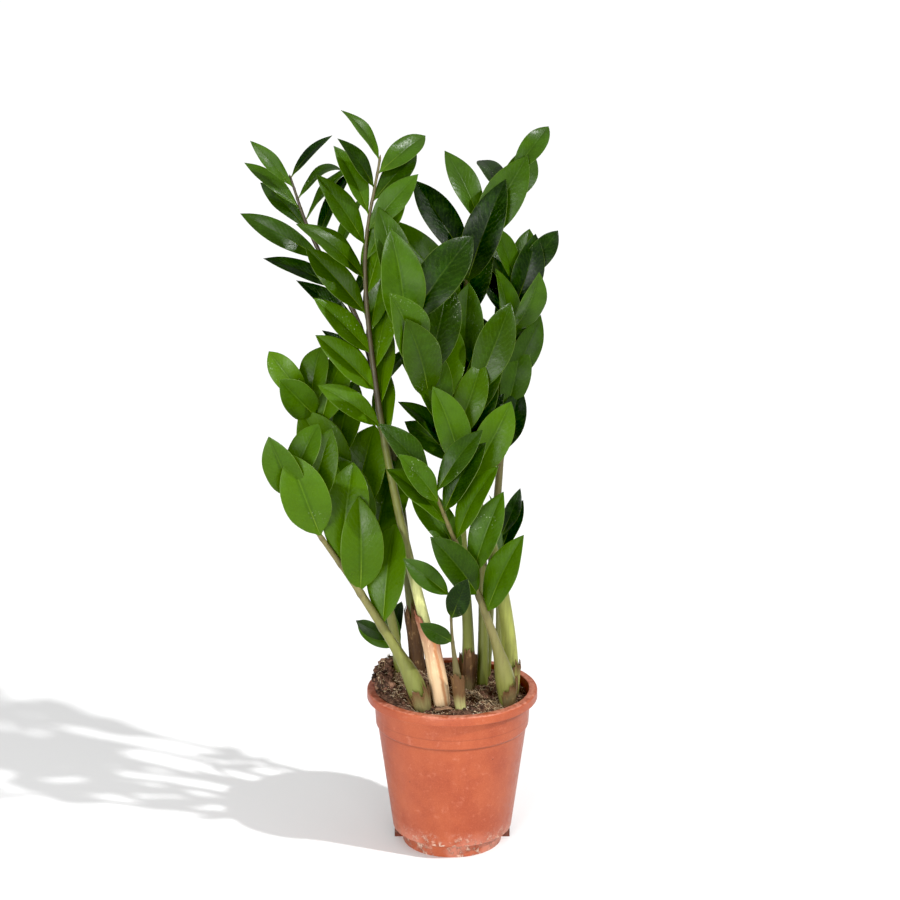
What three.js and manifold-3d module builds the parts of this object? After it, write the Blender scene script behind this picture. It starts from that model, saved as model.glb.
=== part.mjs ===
// A potted ZZ plant: a plastic nursery pot, its potting mix, twelve leafy stems and their dry sheaths.
// Millimetres, +Z up. The origin is the centre of the pot's base on the floor, and the front looks to -Y.
import * as THREE from 'three';
import { mergeVertices } from 'three/addons/utils/BufferGeometryUtils.js';
import Module from 'manifold-3d';

const wasm = await Module();
wasm.setup();

// Pot
const POT_SEGMENTS = 40;
const WALL = 1.8;
const EDGE = 0.8;
const FLOOR_THICKNESS = 2.6;
const BASE_RADIUS = 50;
const BASE_HEIGHT = 15;
const FOOT_RADIUS = 59.8;
const STEP_HEIGHT = 125;
const BELOW_STEP_RADIUS = 74.4;
const COLLAR_RADIUS = 76.4;
const NECK_RADIUS = 78.4;
const RIM_HEIGHT = 162;
const RIM_RADIUS = 85;
const RIM_BAND = 9;
const RIM_SKIRT = 1.8;
const DRAIN_HOLES = 6;
const DRAIN_RADIUS = 4;
const DRAIN_CIRCLE = 34;
const DRAIN_SIDES = 8;
const BASE_DRAFT = 0.5;
const FOOT_SLOPE = 1.2;
const STEP_SLOPE = 2;
const LUG = { inner: 46, outer: 58.5, width: 2.4, height: 15.3 };

// Potting mix
const GAP = 0.4;
const SOIL_LEVEL = 157;
const SOIL_SEGMENTS = 32;
const SOIL_RINGS = 5;
const SOIL_SLOPE = 0.07;
const SOIL_BUMP = 1.6;
const HOLE_SPANS = 4;
const HOLE_TOP = 40;
const HEAP = { x: -52, y: 18, reachX: 34, reachY: 46, height: 17 };

// Stems
const STEM_SIDES = 6;
const STEM_RINGS = 11;
const STEM_TAPER = 1.1;
const BULGE_HEIGHT = 24;
const BULGE_REACH = 26;
const LINE_STEPS = 60;
const FRAME_STEP = 0.002;

// Leaflets: half widths are shares of the leaflet's own half width, at shares of its length.
const BLADE_THICKNESS = 1;
const BLADE_STATIONS = [
  { along: 0, wide: 0.08 },
  { along: 0.09, wide: 0.12 },
  { along: 0.36, wide: 0.92 },
  { along: 0.68, wide: 0.88 },
  { along: 1, wide: 0.02 },
];
const BLADE_FOLD = 0.2;
const BLADE_ARCH = 0.1;
const LAST_LEAFLET = 0.99;
const VARY = { spread: 5, lift: 8, roll: 14, length: 0.06, width: 0.08, arch: 0.05 };
const SAMPLE_ROWS = 11;
const SAMPLE_COLUMNS = 5;
const BLADE_CLEARANCE = 4;
const STEM_CLEARANCE = 2.5;
const OWN_ROOT_SHARE = 0.22;
const END_MARGIN = 0.04;
const TURNS = [0, 8, -8, 16, -16, 24, -24, 32, -32];
const SWINGS = [0, -8, 8, -16, 16];
const TWISTS = [0, 16, -16];

// Sheaths
const SHEATH_SPANS = 3;
const SHEATH_COLUMNS = 8;
const SHEATH_THICKNESS = 1;
const SHEATH_DEPTH = 6;
const SHEATH_GAP = 0.7;
const SHEATH_SLANT = 0.3;
const FRACTION_STEP = 0.001;

const MERGE_DISTANCE = 1e-4;

// Each stem's path runs from its foot in the mix to its tip. Leaflets start at the share `from` of the path,
// alternate from side to side, and lie in a sheet that looks towards `faces` (degrees, 0 is the front and
// 90 the right) at the first leaflet and at the last. `left` and `right` give each row's angle to the stem at
// the first and last leaflet, below zero where a row crosses over a leaning stem. `lift` is how far the two
// rows stand forward out of the sheet, and `roll` how far their faces turn in to the stem. `size` is the
// leaflet's length at the first, middle and last place. A sheath is `rise` high, reaches `arc` degrees round
// the stem, and is centred on `turn`, measured as `faces` is.
const STEMS = [
  {
    name: 'stem_main',
    path: [
      [-4, -36, 118], [-19, -37, 208], [-48, -28, 333], [-71, -20, 460], [-82, -12, 590], [-67, -4, 690],
    ],
    radius: [6.6, 1.5], bulge: 1.5, from: 0.53, count: 18, size: [76, 84, 60], ratio: 0.34,
    faces: [0, 0], left: [32, 34], right: [10, 38], lift: [16, -10], roll: [40, 14], firstSide: 1,
    sheath: { rise: 106, arc: 320, turn: -60 },
  },
  {
    name: 'stem_tall_left',
    path: [[-30, 20, 118], [-42, 26, 250], [-58, 38, 385], [-90, 50, 516], [-136, 60, 603], [-158, 66, 664]],
    radius: [6, 1.5], bulge: 0.5, from: 0.5, count: 15, size: [62, 88, 56], ratio: 0.25,
    faces: [0, -10], left: [36, 16], right: [40, 54], lift: [10, -10], roll: [34, 44], firstSide: 1,
    sheath: { rise: 100, arc: 320, turn: 20 },
  },
  {
    name: 'stem_tall_right',
    path: [[30, 20, 118], [31, 26, 254], [24, 32, 366], [10, 36, 500], [20, 40, 590], [58, 48, 668]],
    radius: [5.6, 1.5], bulge: 0.5, from: 0.42, count: 14, size: [84, 116, 64], ratio: 0.37,
    faces: [0, 10], left: [46, 38], right: [-2, 12], lift: [-14, 8], roll: [14, 8], firstSide: -1,
  },
  {
    name: 'stem_arching',
    path: [[56, -2, 118], [55, -7, 220], [33, -20, 331], [-2, -34, 421], [-33, -43, 490], [-50, -46, 546]],
    radius: [8.6, 1.7], bulge: 1, from: 0.5, count: 12, size: [86, 106, 108], ratio: 0.37,
    faces: [10, 10], left: [-12, -10], right: [46, 50], lift: [16, 0], roll: [24, 14], firstSide: 1,
    sheath: { rise: 42, arc: 330, turn: 30 },
  },
  {
    name: 'stem_front_left',
    path: [[-23, -48, 118], [-38, -50, 187], [-88, -60, 280], [-131, -72, 350], [-151, -80, 392]],
    radius: [6.6, 1.5], bulge: 4, from: 0.4, count: 7, size: [98, 94, 60], ratio: 0.44,
    faces: [0, -10], left: [-40, 0], right: [38, 40], lift: [18, -10], roll: [6, 16], firstSide: 1,
    sheath: { rise: 34, arc: 180, turn: 36 },
  },
  {
    name: 'stem_mid_left',
    path: [[-44, 4, 118], [-62, 2, 240], [-88, -4, 322], [-122, -12, 420], [-140, -18, 462]],
    radius: [5.4, 1.4], bulge: 0.5, from: 0.42, count: 10, size: [104, 80, 54], ratio: 0.48,
    faces: [0, -10], left: [-6, 10], right: [26, 34], lift: [10, -14], roll: [14, 10], firstSide: 1,
  },
  {
    name: 'stem_front_right',
    path: [[54, -26, 116], [51, -32, 186], [28, -48, 266], [-3, -64, 346], [-20, -76, 394]],
    radius: [6.2, 1.5], bulge: 4.4, from: 0.46, count: 10, size: [98, 80, 74], ratio: 0.36,
    faces: [0, 10], left: [10, 14], right: [38, 46], lift: [4, 4], roll: [44, 44], firstSide: 1,
    sheath: { rise: 30, arc: 190, turn: 70 },
  },
  {
    name: 'stem_rosette',
    path: [[14, 10, 118], [16, 10, 207], [10, 0, 322], [10, -8, 395], [17, -14, 458]],
    radius: [6.6, 2], bulge: 0.8, from: 0.7, count: 7, size: [84, 96, 100], ratio: 0.34,
    faces: [0, 20], left: [36, 32], right: [24, 14], lift: [0, 8], roll: [44, 20], firstSide: 1,
    sheath: { rise: 50, arc: 330, turn: 10 },
  },
  {
    name: 'stem_right',
    path: [[32, 50, 118], [40, 58, 261], [50, 60, 406], [56, 60, 504], [66, 62, 566]],
    radius: [5.4, 1.7], bulge: 0.5, from: 0.46, count: 15, size: [76, 88, 62], ratio: 0.38,
    faces: [30, 40], left: [20, 26], right: [2, 6], lift: [-12, 14], roll: [20, 30], firstSide: 1,
  },
  {
    name: 'shoot_front',
    path: [[12, -46, 122], [5, -54, 190], [0, -64, 235], [-2, -73, 282]],
    radius: [3.6, 1.3], bulge: 1.5, from: 0.64, count: 3, size: [46, 52, 62], ratio: 0.4,
    faces: [0, 0], left: [38, 44], right: [20, 20], lift: [14, 8], roll: [24, 24], firstSide: -1,
    sheath: { rise: 46, arc: 320, turn: -20 },
  },
  {
    name: 'shoot_left',
    path: [[-46, 42, 126], [-52, 47, 160], [-59, 52, 193]],
    radius: [3.4, 1.2], bulge: 1, from: 0.8, count: 4, size: [50, 50, 44], ratio: 0.4,
    faces: [0, -20], left: [40, 50], right: [2, 12], lift: [0, 10], roll: [20, 20], firstSide: 1,
  },
  {
    name: 'shoot_right',
    path: [[48, 30, 118], [47, 36, 205], [46, 42, 270], [48, 44, 304]],
    radius: [3.6, 1.4], bulge: 1, from: 0.55, count: 5, size: [58, 62, 52], ratio: 0.32,
    faces: [20, 40], left: [14, 16], right: [20, 22], lift: [6, 10], roll: [44, 44], firstSide: 1,
  },
];

const FINISHES = {
  pot: { color: 0xb9603a, roughness: 0.42, metalness: 0 },
  soil: { color: 0x2c2019, roughness: 0.95, metalness: 0 },
  foliage: { color: 0x2f5a24, roughness: 0.32, metalness: 0 },
  sheath: { color: 0xb99a6d, roughness: 0.8, metalness: 0 },
};

// Small fixed draws, so that every leaflet differs and the plant is the same each time.
function draw(stemNumber, leafNumber, kind) {
  const wave = Math.sin(stemNumber * 12.9898 + leafNumber * 78.233 + kind * 37.719) * 43758.5453;
  return 2 * (wave - Math.floor(wave)) - 1;
}

function mix(start, end, share) {
  return start + (end - start) * share;
}

// A smooth curve through the path's points. The fraction runs from 0 at the foot to 1 at the tip.
function pointOn(path, fraction) {
  const points = path.map((place) => new THREE.Vector3(...place));
  const last = points.length - 1;
  const foot = points[0].clone().multiplyScalar(2).sub(points[1]);
  const tip = points[last].clone().multiplyScalar(2).sub(points[last - 1]);
  const padded = [foot, ...points, tip];
  const span = Math.max(0, Math.min(Math.floor(fraction * last), last - 1));
  const t = fraction * last - span;
  const [before, start, end, after] = padded.slice(span, span + 4);
  const axis = (name) => {
    const leave = (end[name] - before[name]) / 2;
    const arrive = (after[name] - start[name]) / 2;
    const cubic = 2 * start[name] - 2 * end[name] + leave + arrive;
    const square = 3 * end[name] - 3 * start[name] - 2 * leave - arrive;
    return ((cubic * t + square) * t + leave) * t + start[name];
  };
  return new THREE.Vector3(axis('x'), axis('y'), axis('z'));
}

// The directions at a place on a path: along it, the way its leaflet sheet looks, and that sheet's right.
function frameOn(path, fraction, faces = 0) {
  const ahead = pointOn(path, fraction + FRAME_STEP);
  const along = ahead.sub(pointOn(path, fraction - FRAME_STEP)).normalize();
  const angle = THREE.MathUtils.degToRad(faces);
  const look = new THREE.Vector3(Math.sin(angle), -Math.cos(angle), 0);
  look.addScaledVector(along, -look.dot(along)).normalize();
  const right = along.clone().cross(look);
  return { along, look, right };
}

function stemRadius(stem, fraction) {
  const height = pointOn(stem.path, fraction).z - SOIL_LEVEL;
  const bulge = stem.bulge * Math.exp(-(((height - BULGE_HEIGHT) / BULGE_REACH) ** 2));
  return mix(stem.radius[0], stem.radius[1], Math.max(0, fraction) ** STEM_TAPER) + bulge;
}

// A closed mesh from vertices and faces that list three or four of them, counter-clockwise from outside.
function closedGeometry(vertices, faces) {
  const index = [];
  for (const face of faces) {
    for (let i = 1; i + 1 < face.length; i += 1) {
      index.push(face[0], face[i], face[i + 1]);
    }
  }
  const places = vertices.flatMap((vertex) => vertex.toArray());
  const geometry = new THREE.BufferGeometry();
  geometry.setAttribute('position', new THREE.Float32BufferAttribute(places, 3));
  geometry.setIndex(index);
  return geometry;
}

// A tube whose rings are lists of the same number of points, capped at both ends.
function tubeGeometry(rings) {
  const sides = rings[0].length;
  const faces = [];
  for (let ring = 0; ring + 1 < rings.length; ring += 1) {
    for (let side = 0; side < sides; side += 1) {
      const next = (side + 1) % sides;
      const low = ring * sides;
      const high = low + sides;
      faces.push([low + side, low + next, high + next, high + side]);
    }
  }
  const around = rings[0].map((_, side) => side);
  const top = (rings.length - 1) * sides;
  faces.push([...around].reverse(), around.map((side) => top + side));
  return closedGeometry(rings.flat(), faces);
}

// A thin curved plate between two grids of points of the same shape, closed along its four edges. Both
// faces are split into triangles alike.
function plateGeometry(front, back) {
  const rows = front.length;
  const columns = front[0].length;
  const count = rows * columns;
  const at = (row, column) => row * columns + column;
  const faces = [];
  for (let row = 0; row + 1 < rows; row += 1) {
    for (let column = 0; column + 1 < columns; column += 1) {
      const a = at(row, column);
      const b = at(row, column + 1);
      const c = at(row + 1, column + 1);
      const d = at(row + 1, column);
      faces.push([a, b, c], [a, c, d]);
      faces.push([count + a, count + c, count + b], [count + a, count + d, count + c]);
    }
  }
  const edge = [];
  for (let column = 0; column < columns; column += 1) {
    edge.push(at(0, column));
  }
  for (let row = 1; row < rows; row += 1) {
    edge.push(at(row, columns - 1));
  }
  for (let column = columns - 2; column >= 0; column -= 1) {
    edge.push(at(rows - 1, column));
  }
  for (let row = rows - 2; row > 0; row -= 1) {
    edge.push(at(row, 0));
  }
  edge.forEach((corner, place) => {
    const next = edge[(place + 1) % edge.length];
    faces.push([next, corner, count + corner, count + next]);
  });
  return closedGeometry([...front.flat(), ...back.flat()], faces);
}

function solidFrom(source) {
  const geometry = source.clone();
  geometry.deleteAttribute('normal');
  geometry.deleteAttribute('uv');
  const merged = mergeVertices(geometry, MERGE_DISTANCE);
  return new wasm.Manifold(new wasm.Mesh({
    numProp: 3,
    vertProperties: new Float32Array(merged.attributes.position.array),
    triVerts: new Uint32Array(merged.index.array),
  }));
}

function geometryFrom(solid) {
  const mesh = solid.getMesh();
  const geometry = new THREE.BufferGeometry();
  geometry.setAttribute('position', new THREE.BufferAttribute(new Float32Array(mesh.vertProperties), 3));
  geometry.setIndex(new THREE.BufferAttribute(new Uint32Array(mesh.triVerts), 1));
  geometry.computeVertexNormals();
  return geometry;
}

function turned(profile, segments) {
  const points = profile.map(([radius, height]) => new THREE.Vector2(radius, height));
  return solidFrom(new THREE.LatheGeometry(points, segments).rotateX(Math.PI / 2));
}

function potSolid() {
  const skirtInner = RIM_RADIUS - RIM_SKIRT;
  const bandBottom = RIM_HEIGHT - RIM_BAND;
  const underRim = RIM_HEIGHT - WALL;
  const halfFoot = FOOT_SLOPE / 2;
  const halfStep = STEP_SLOPE / 2;
  const outside = [
    [0, 0],
    [BASE_RADIUS, 0],
    [BASE_RADIUS + BASE_DRAFT, BASE_HEIGHT - halfFoot],
    [FOOT_RADIUS, BASE_HEIGHT + halfFoot],
    [BELOW_STEP_RADIUS, STEP_HEIGHT - halfStep],
    [COLLAR_RADIUS, STEP_HEIGHT + halfStep],
    [NECK_RADIUS, underRim],
  ];
  const rim = [
    [skirtInner, underRim],
    [skirtInner, bandBottom],
    [RIM_RADIUS, bandBottom],
    [RIM_RADIUS, RIM_HEIGHT - EDGE],
    [RIM_RADIUS - EDGE, RIM_HEIGHT],
  ];
  const inside = [
    [NECK_RADIUS - WALL, RIM_HEIGHT],
    [COLLAR_RADIUS - WALL, STEP_HEIGHT + STEP_SLOPE],
    [BELOW_STEP_RADIUS - WALL, STEP_HEIGHT - halfStep],
    [FOOT_RADIUS - WALL, BASE_HEIGHT + halfFoot + WALL],
    [BASE_RADIUS - WALL + BASE_DRAFT, BASE_HEIGHT + FOOT_SLOPE],
    [BASE_RADIUS - WALL, FLOOR_THICKNESS],
    [0, FLOOR_THICKNESS],
  ];
  let pot = turned([...outside, ...rim, ...inside], POT_SEGMENTS);
  for (const side of [-1, 1]) {
    pot = pot.add(lugSolid(side));
  }
  pot = pot.subtract(insideOfBase());
  for (let hole = 0; hole < DRAIN_HOLES; hole += 1) {
    pot = pot.subtract(drainSolid((2 * Math.PI * hole) / DRAIN_HOLES));
  }
  return pot;
}

// An upright fin that stiffens the base ring under the wall's foot.
function lugSolid(side) {
  const lug = new THREE.BoxGeometry(LUG.outer - LUG.inner, LUG.width, LUG.height);
  lug.translate((side * (LUG.inner + LUG.outer)) / 2, 0, LUG.height / 2);
  return solidFrom(lug);
}

function drainSolid(angle) {
  const drain = new THREE.CylinderGeometry(DRAIN_RADIUS, DRAIN_RADIUS, 4 * FLOOR_THICKNESS, DRAIN_SIDES);
  drain.rotateX(Math.PI / 2);
  drain.translate(DRAIN_CIRCLE * Math.cos(angle), DRAIN_CIRCLE * Math.sin(angle), 0);
  return solidFrom(drain);
}

// The round space inside the base ring, which keeps the fins out of the pot's inside.
function insideOfBase() {
  const radius = BASE_RADIUS - WALL;
  const top = BASE_HEIGHT + FOOT_SLOPE;
  return turned([[0, FLOOR_THICKNESS], [radius, FLOOR_THICKNESS], [radius + BASE_DRAFT, top], [0, top]],
    POT_SEGMENTS);
}

function soilHeight(x, y) {
  const slope = -SOIL_SLOPE * x;
  const fromHeap = ((x - HEAP.x) / HEAP.reachX) ** 2 + ((y - HEAP.y) / HEAP.reachY) ** 2;
  const heap = HEAP.height * Math.exp(-fromHeap);
  const bumps = SOIL_BUMP * (Math.sin(x * 0.21 + 1.3) * Math.cos(y * 0.17) + Math.sin(x * 0.09 - y * 0.13));
  return SOIL_LEVEL + slope + heap + bumps;
}

// A ring of the mix at a height, or on its top surface where no height is given.
function soilRing(radius, height) {
  const points = [];
  for (let i = 0; i < SOIL_SEGMENTS; i += 1) {
    const angle = (2 * Math.PI * i) / SOIL_SEGMENTS;
    const x = radius * Math.cos(angle);
    const y = radius * Math.sin(angle);
    points.push(new THREE.Vector3(x, y, height ?? soilHeight(x, y)));
  }
  return points;
}

// The mix fills the pot from its floor, and its top is raised by a formula.
function soilSolid(stemHoles) {
  const inside = WALL + 3 * GAP;
  const rings = [
    soilRing(BASE_RADIUS - inside, FLOOR_THICKNESS + GAP),
    soilRing(BASE_RADIUS - inside, BASE_HEIGHT + STEP_SLOPE),
    soilRing(FOOT_RADIUS - inside, BASE_HEIGHT + 2 * STEP_SLOPE),
    soilRing(BELOW_STEP_RADIUS - inside, STEP_HEIGHT - STEP_SLOPE),
    soilRing(COLLAR_RADIUS - inside, STEP_HEIGHT + 2 * STEP_SLOPE),
  ];
  for (let i = SOIL_RINGS; i > 0; i -= 1) {
    rings.push(soilRing(((NECK_RADIUS - inside) * i) / SOIL_RINGS));
  }
  let soil = solidFrom(tubeGeometry(rings));
  for (const hole of stemHoles) {
    soil = soil.subtract(hole);
  }
  return soil;
}

// Rings of points round a stem between two fractions of its path, `extra` wider than the stem.
function stemRings(stem, start, end, count, extra) {
  const rings = [];
  for (let i = 0; i <= count; i += 1) {
    const fraction = mix(start, end, i / count);
    const centre = pointOn(stem.path, fraction);
    const { look, right } = frameOn(stem.path, fraction);
    const radius = stemRadius(stem, fraction) + extra;
    const ring = [];
    for (let side = 0; side < STEM_SIDES; side += 1) {
      const angle = (2 * Math.PI * side) / STEM_SIDES;
      ring.push(centre.clone().addScaledVector(right, radius * Math.cos(angle))
        .addScaledVector(look, -radius * Math.sin(angle)));
    }
    rings.push(ring);
  }
  return rings;
}

// A blade's place: its root, its own three directions, length, half width and arch.
function bladeAt(stem, stemNumber, leafNumber, turn, swing, twist) {
  const vary = (kind) => draw(stemNumber, leafNumber, kind);
  const share = leafNumber / (stem.count - 1);
  const fraction = mix(stem.from, LAST_LEAFLET, share);
  const side = leafNumber % 2 === 0 ? stem.firstSide : -stem.firstSide;
  const hand = side < 0 ? 0 : 1;
  const { along, look, right } = frameOn(stem.path, fraction, mix(stem.faces[0], stem.faces[1], share));
  const row = side < 0 ? stem.left : stem.right;
  const spread = mix(row[0], row[1], share) + swing + VARY.spread * vary(1);
  const lift = stem.lift[hand] + turn + VARY.lift * vary(2);
  const roll = THREE.MathUtils.degToRad(twist + VARY.roll * vary(3) - side * stem.roll[hand]);
  const [first, middle, last] = stem.size;
  const size = share < 0.5 ? mix(first, middle, 2 * share) : mix(middle, last, 2 * share - 1);
  const length = size * (1 + VARY.length * vary(4));
  const spreadAngle = THREE.MathUtils.degToRad(spread);
  const liftAngle = THREE.MathUtils.degToRad(lift);
  const forward = along.clone().multiplyScalar(Math.cos(spreadAngle) * Math.cos(liftAngle))
    .addScaledVector(right, side * Math.sin(spreadAngle) * Math.cos(liftAngle))
    .addScaledVector(look, Math.sin(liftAngle)).normalize();
  const flat = look.clone().addScaledVector(forward, -look.dot(forward)).normalize();
  const across = forward.clone().cross(flat);
  const face = flat.clone().multiplyScalar(Math.cos(roll)).addScaledVector(across, Math.sin(roll));
  return {
    root: pointOn(stem.path, fraction),
    forward,
    face,
    across: forward.clone().cross(face),
    length,
    halfWidth: (length * stem.ratio * (1 + VARY.width * vary(5))) / 2,
    arch: BLADE_ARCH + VARY.arch * vary(6),
    stemNumber,
  };
}

// Share of the half width at a share of the length, straight between the stations.
function bladeWidth(along) {
  const after = BLADE_STATIONS.findIndex((station) => station.along >= along);
  const high = BLADE_STATIONS[Math.max(1, after)];
  const low = BLADE_STATIONS[Math.max(1, after) - 1];
  return mix(low.wide, high.wide, (along - low.along) / (high.along - low.along));
}

// How far the blade's middle surface stands off the flat sheet through its root.
function bladeRise(blade, along, sideways) {
  return BLADE_FOLD * Math.abs(sideways) - blade.arch * blade.length * along * along;
}

function bladePoint(blade, along, across) {
  const sideways = across * blade.halfWidth * bladeWidth(along);
  return blade.root.clone().addScaledVector(blade.forward, along * blade.length)
    .addScaledVector(blade.across, sideways)
    .addScaledVector(blade.face, bladeRise(blade, along, sideways));
}

function bladeSamples(blade) {
  const samples = [];
  for (let row = 1; row <= SAMPLE_ROWS; row += 1) {
    const along = row / SAMPLE_ROWS;
    for (let column = 0; column < SAMPLE_COLUMNS; column += 1) {
      samples.push({ along, point: bladePoint(blade, along, (2 * column) / (SAMPLE_COLUMNS - 1) - 1) });
    }
  }
  return samples;
}

// The smallest distance from sampled points to another blade's sheet, where they lie over or under it.
function gapToBlade(samples, own, other) {
  let gap = Infinity;
  for (const { along, point } of samples) {
    const offset = point.clone().sub(other.root);
    const place = offset.dot(other.forward) / other.length;
    const sideways = offset.dot(other.across);
    const reach = other.halfWidth * bladeWidth(THREE.MathUtils.clamp(place, 0, 1)) + BLADE_CLEARANCE;
    const isBeside = place < -END_MARGIN || place > 1 + END_MARGIN || Math.abs(sideways) > reach;
    const isSharedRoot = own.stemNumber === other.stemNumber && Math.min(place, along) < OWN_ROOT_SHARE;
    if (!isBeside && !isSharedRoot) {
      gap = Math.min(gap, Math.abs(offset.dot(other.face) - bladeRise(other, place, sideways)));
    }
  }
  return gap;
}

function gapToStems(samples, own, stemLines) {
  let gap = Infinity;
  stemLines.forEach((line, number) => {
    const free = samples.filter(({ along }) => number !== own.stemNumber || along >= OWN_ROOT_SHARE);
    for (const { point } of free) {
      for (const { place, radius } of line) {
        gap = Math.min(gap, point.distanceTo(place) - radius);
      }
    }
  });
  return gap;
}

// How much room a blade keeps, where 1 is enough on every side.
function roomFor(blade, placed, stemLines) {
  const samples = bladeSamples(blade);
  let room = gapToStems(samples, blade, stemLines) / STEM_CLEARANCE;
  for (const other of placed) {
    const isNear = blade.root.distanceTo(other.blade.root) < blade.length + other.blade.length;
    if (isNear) {
      const toOther = gapToBlade(samples, blade, other.blade);
      const fromOther = gapToBlade(other.samples, other.blade, blade);
      room = Math.min(room, toOther / BLADE_CLEARANCE, fromOther / BLADE_CLEARANCE);
    }
  }
  return { room, samples };
}

// A stem as a row of points with their radii.
function stemLine(stem) {
  const line = [];
  for (let i = 0; i <= LINE_STEPS; i += 1) {
    const fraction = i / LINE_STEPS;
    line.push({ place: pointOn(stem.path, fraction), radius: stemRadius(stem, fraction) });
  }
  return line;
}

// Every turn, swing and twist that a leaflet may take, the smallest turns first.
function growthTries() {
  const tries = [];
  for (const twist of TWISTS) {
    for (const swing of SWINGS) {
      for (const turn of TURNS) {
        tries.push([turn, swing, twist]);
      }
    }
  }
  return tries;
}

// Every leaflet takes the first try that clears what has grown before it, or else the roomiest one.
function growBlades() {
  const stemLines = STEMS.map(stemLine);
  const tries = growthTries();
  const placed = [];
  STEMS.forEach((stem, stemNumber) => {
    for (let leafNumber = 0; leafNumber < stem.count; leafNumber += 1) {
      let best = { room: -Infinity };
      for (const [turn, swing, twist] of tries) {
        if (best.room < 1) {
          const blade = bladeAt(stem, stemNumber, leafNumber, turn, swing, twist);
          const grown = { blade, ...roomFor(blade, placed, stemLines) };
          best = grown.room > best.room ? grown : best;
        }
      }
      placed.push(best);
    }
  });
  return placed.map((entry) => entry.blade);
}

function bladeSolid(blade) {
  const grid = (offset) => BLADE_STATIONS.map(({ along }) => [-1, 0, 1].map((across) => (
    bladePoint(blade, along, across).addScaledVector(blade.face, offset))));
  return solidFrom(plateGeometry(grid(BLADE_THICKNESS / 2), grid(-BLADE_THICKNESS / 2)));
}

function leafyStemSolid(stem, blades) {
  let solid = solidFrom(tubeGeometry(stemRings(stem, 0, 1, STEM_RINGS, 0)));
  for (const blade of blades) {
    solid = solid.add(bladeSolid(blade));
  }
  return solid;
}

// The fraction of a stem's path at a height above the mix.
function fractionAt(stem, height) {
  let fraction = 0;
  while (pointOn(stem.path, fraction).z < SOIL_LEVEL + height) {
    fraction += FRACTION_STEP;
  }
  return fraction;
}

function sheathInnerRadius(stem, fraction) {
  const halfFacet = THREE.MathUtils.degToRad(stem.sheath.arc / SHEATH_COLUMNS / 2);
  return (stemRadius(stem, fraction) + SHEATH_GAP) / Math.cos(halfFacet);
}

// The plain hole that a stem stands in, with its sheath where it has one.
function holeSolid(stem) {
  const flat = Math.cos(Math.PI / STEM_SIDES);
  let room = GAP / flat;
  if (stem.sheath) {
    room = (sheathInnerRadius(stem, 0) + SHEATH_THICKNESS + GAP) / flat - stemRadius(stem, 0);
  }
  return solidFrom(tubeGeometry(stemRings(stem, -FRAME_STEP, fractionAt(stem, HOLE_TOP), HOLE_SPANS, room)));
}

// A point of a sheath: `share` runs from one edge round to the other, and `rise` from the foot to the top.
function sheathPoint(stem, share, rise, offset) {
  const start = fractionAt(stem, -SHEATH_DEPTH);
  const end = fractionAt(stem, stem.sheath.rise);
  const top = mix(start, end, 1 - SHEATH_SLANT * Math.abs(share));
  const fraction = mix(start, top, rise);
  const { look, right } = frameOn(stem.path, fraction);
  const angle = THREE.MathUtils.degToRad(stem.sheath.turn + (share * stem.sheath.arc) / 2);
  const radius = sheathInnerRadius(stem, fraction) + offset;
  return pointOn(stem.path, fraction)
    .addScaledVector(look, radius * Math.cos(angle))
    .addScaledVector(right, radius * Math.sin(angle));
}

// A dry scale leaf round the stem's foot, with a slanted top that runs up to a point.
function sheathGeometry(stem) {
  const grid = (offset) => {
    const rows = [];
    for (let row = 0; row <= SHEATH_SPANS; row += 1) {
      const points = [];
      for (let column = 0; column <= SHEATH_COLUMNS; column += 1) {
        points.push(sheathPoint(stem, (2 * column) / SHEATH_COLUMNS - 1, row / SHEATH_SPANS, offset));
      }
      rows.push(points);
    }
    return rows;
  };
  return plateGeometry(grid(SHEATH_THICKNESS), grid(0));
}

function mesh(name, solid, finish) {
  const material = new THREE.MeshStandardMaterial(FINISHES[finish]);
  const piece = new THREE.Mesh(geometryFrom(solid), material);
  piece.name = name;
  return piece;
}

function pottedPlant() {
  const plant = new THREE.Group();
  const blades = growBlades();
  const holes = [];
  STEMS.forEach((stem, number) => {
    const grown = blades.filter((blade) => blade.stemNumber === number);
    plant.add(mesh(stem.name, leafyStemSolid(stem, grown), 'foliage'));
    holes.push(holeSolid(stem));
    if (stem.sheath) {
      const name = stem.name.replace(/^(stem|shoot)/, 'sheath');
      plant.add(mesh(name, solidFrom(sheathGeometry(stem)), 'sheath'));
    }
  });
  plant.add(mesh('pot', potSolid(), 'pot'));
  plant.add(mesh('soil', soilSolid(holes), 'soil'));
  return plant;
}

export default pottedPlant();
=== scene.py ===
# The looks of a potted ZZ plant: its pot, its potting mix, twelve leafy stems and their dry sheaths.
# Sizes are in millimetres until a mesh is made, with +Z up and the front to -Y.
import math
from functools import partial
from itertools import combinations, product
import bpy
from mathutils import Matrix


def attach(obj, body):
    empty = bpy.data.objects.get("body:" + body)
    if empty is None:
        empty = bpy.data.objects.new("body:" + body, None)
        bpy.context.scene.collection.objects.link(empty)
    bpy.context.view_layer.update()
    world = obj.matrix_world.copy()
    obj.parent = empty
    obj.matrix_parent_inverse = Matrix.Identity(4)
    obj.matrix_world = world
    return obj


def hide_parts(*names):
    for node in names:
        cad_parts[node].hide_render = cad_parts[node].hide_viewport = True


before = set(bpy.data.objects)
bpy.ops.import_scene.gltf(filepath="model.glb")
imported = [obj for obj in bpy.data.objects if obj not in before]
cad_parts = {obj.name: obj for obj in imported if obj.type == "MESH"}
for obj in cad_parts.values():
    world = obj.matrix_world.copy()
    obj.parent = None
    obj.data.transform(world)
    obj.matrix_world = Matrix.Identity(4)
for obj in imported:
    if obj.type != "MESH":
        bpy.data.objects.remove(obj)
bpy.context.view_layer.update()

from types import SimpleNamespace

import bpy
import numpy as np
from mathutils import Vector, noise

MM = 0.001

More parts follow.
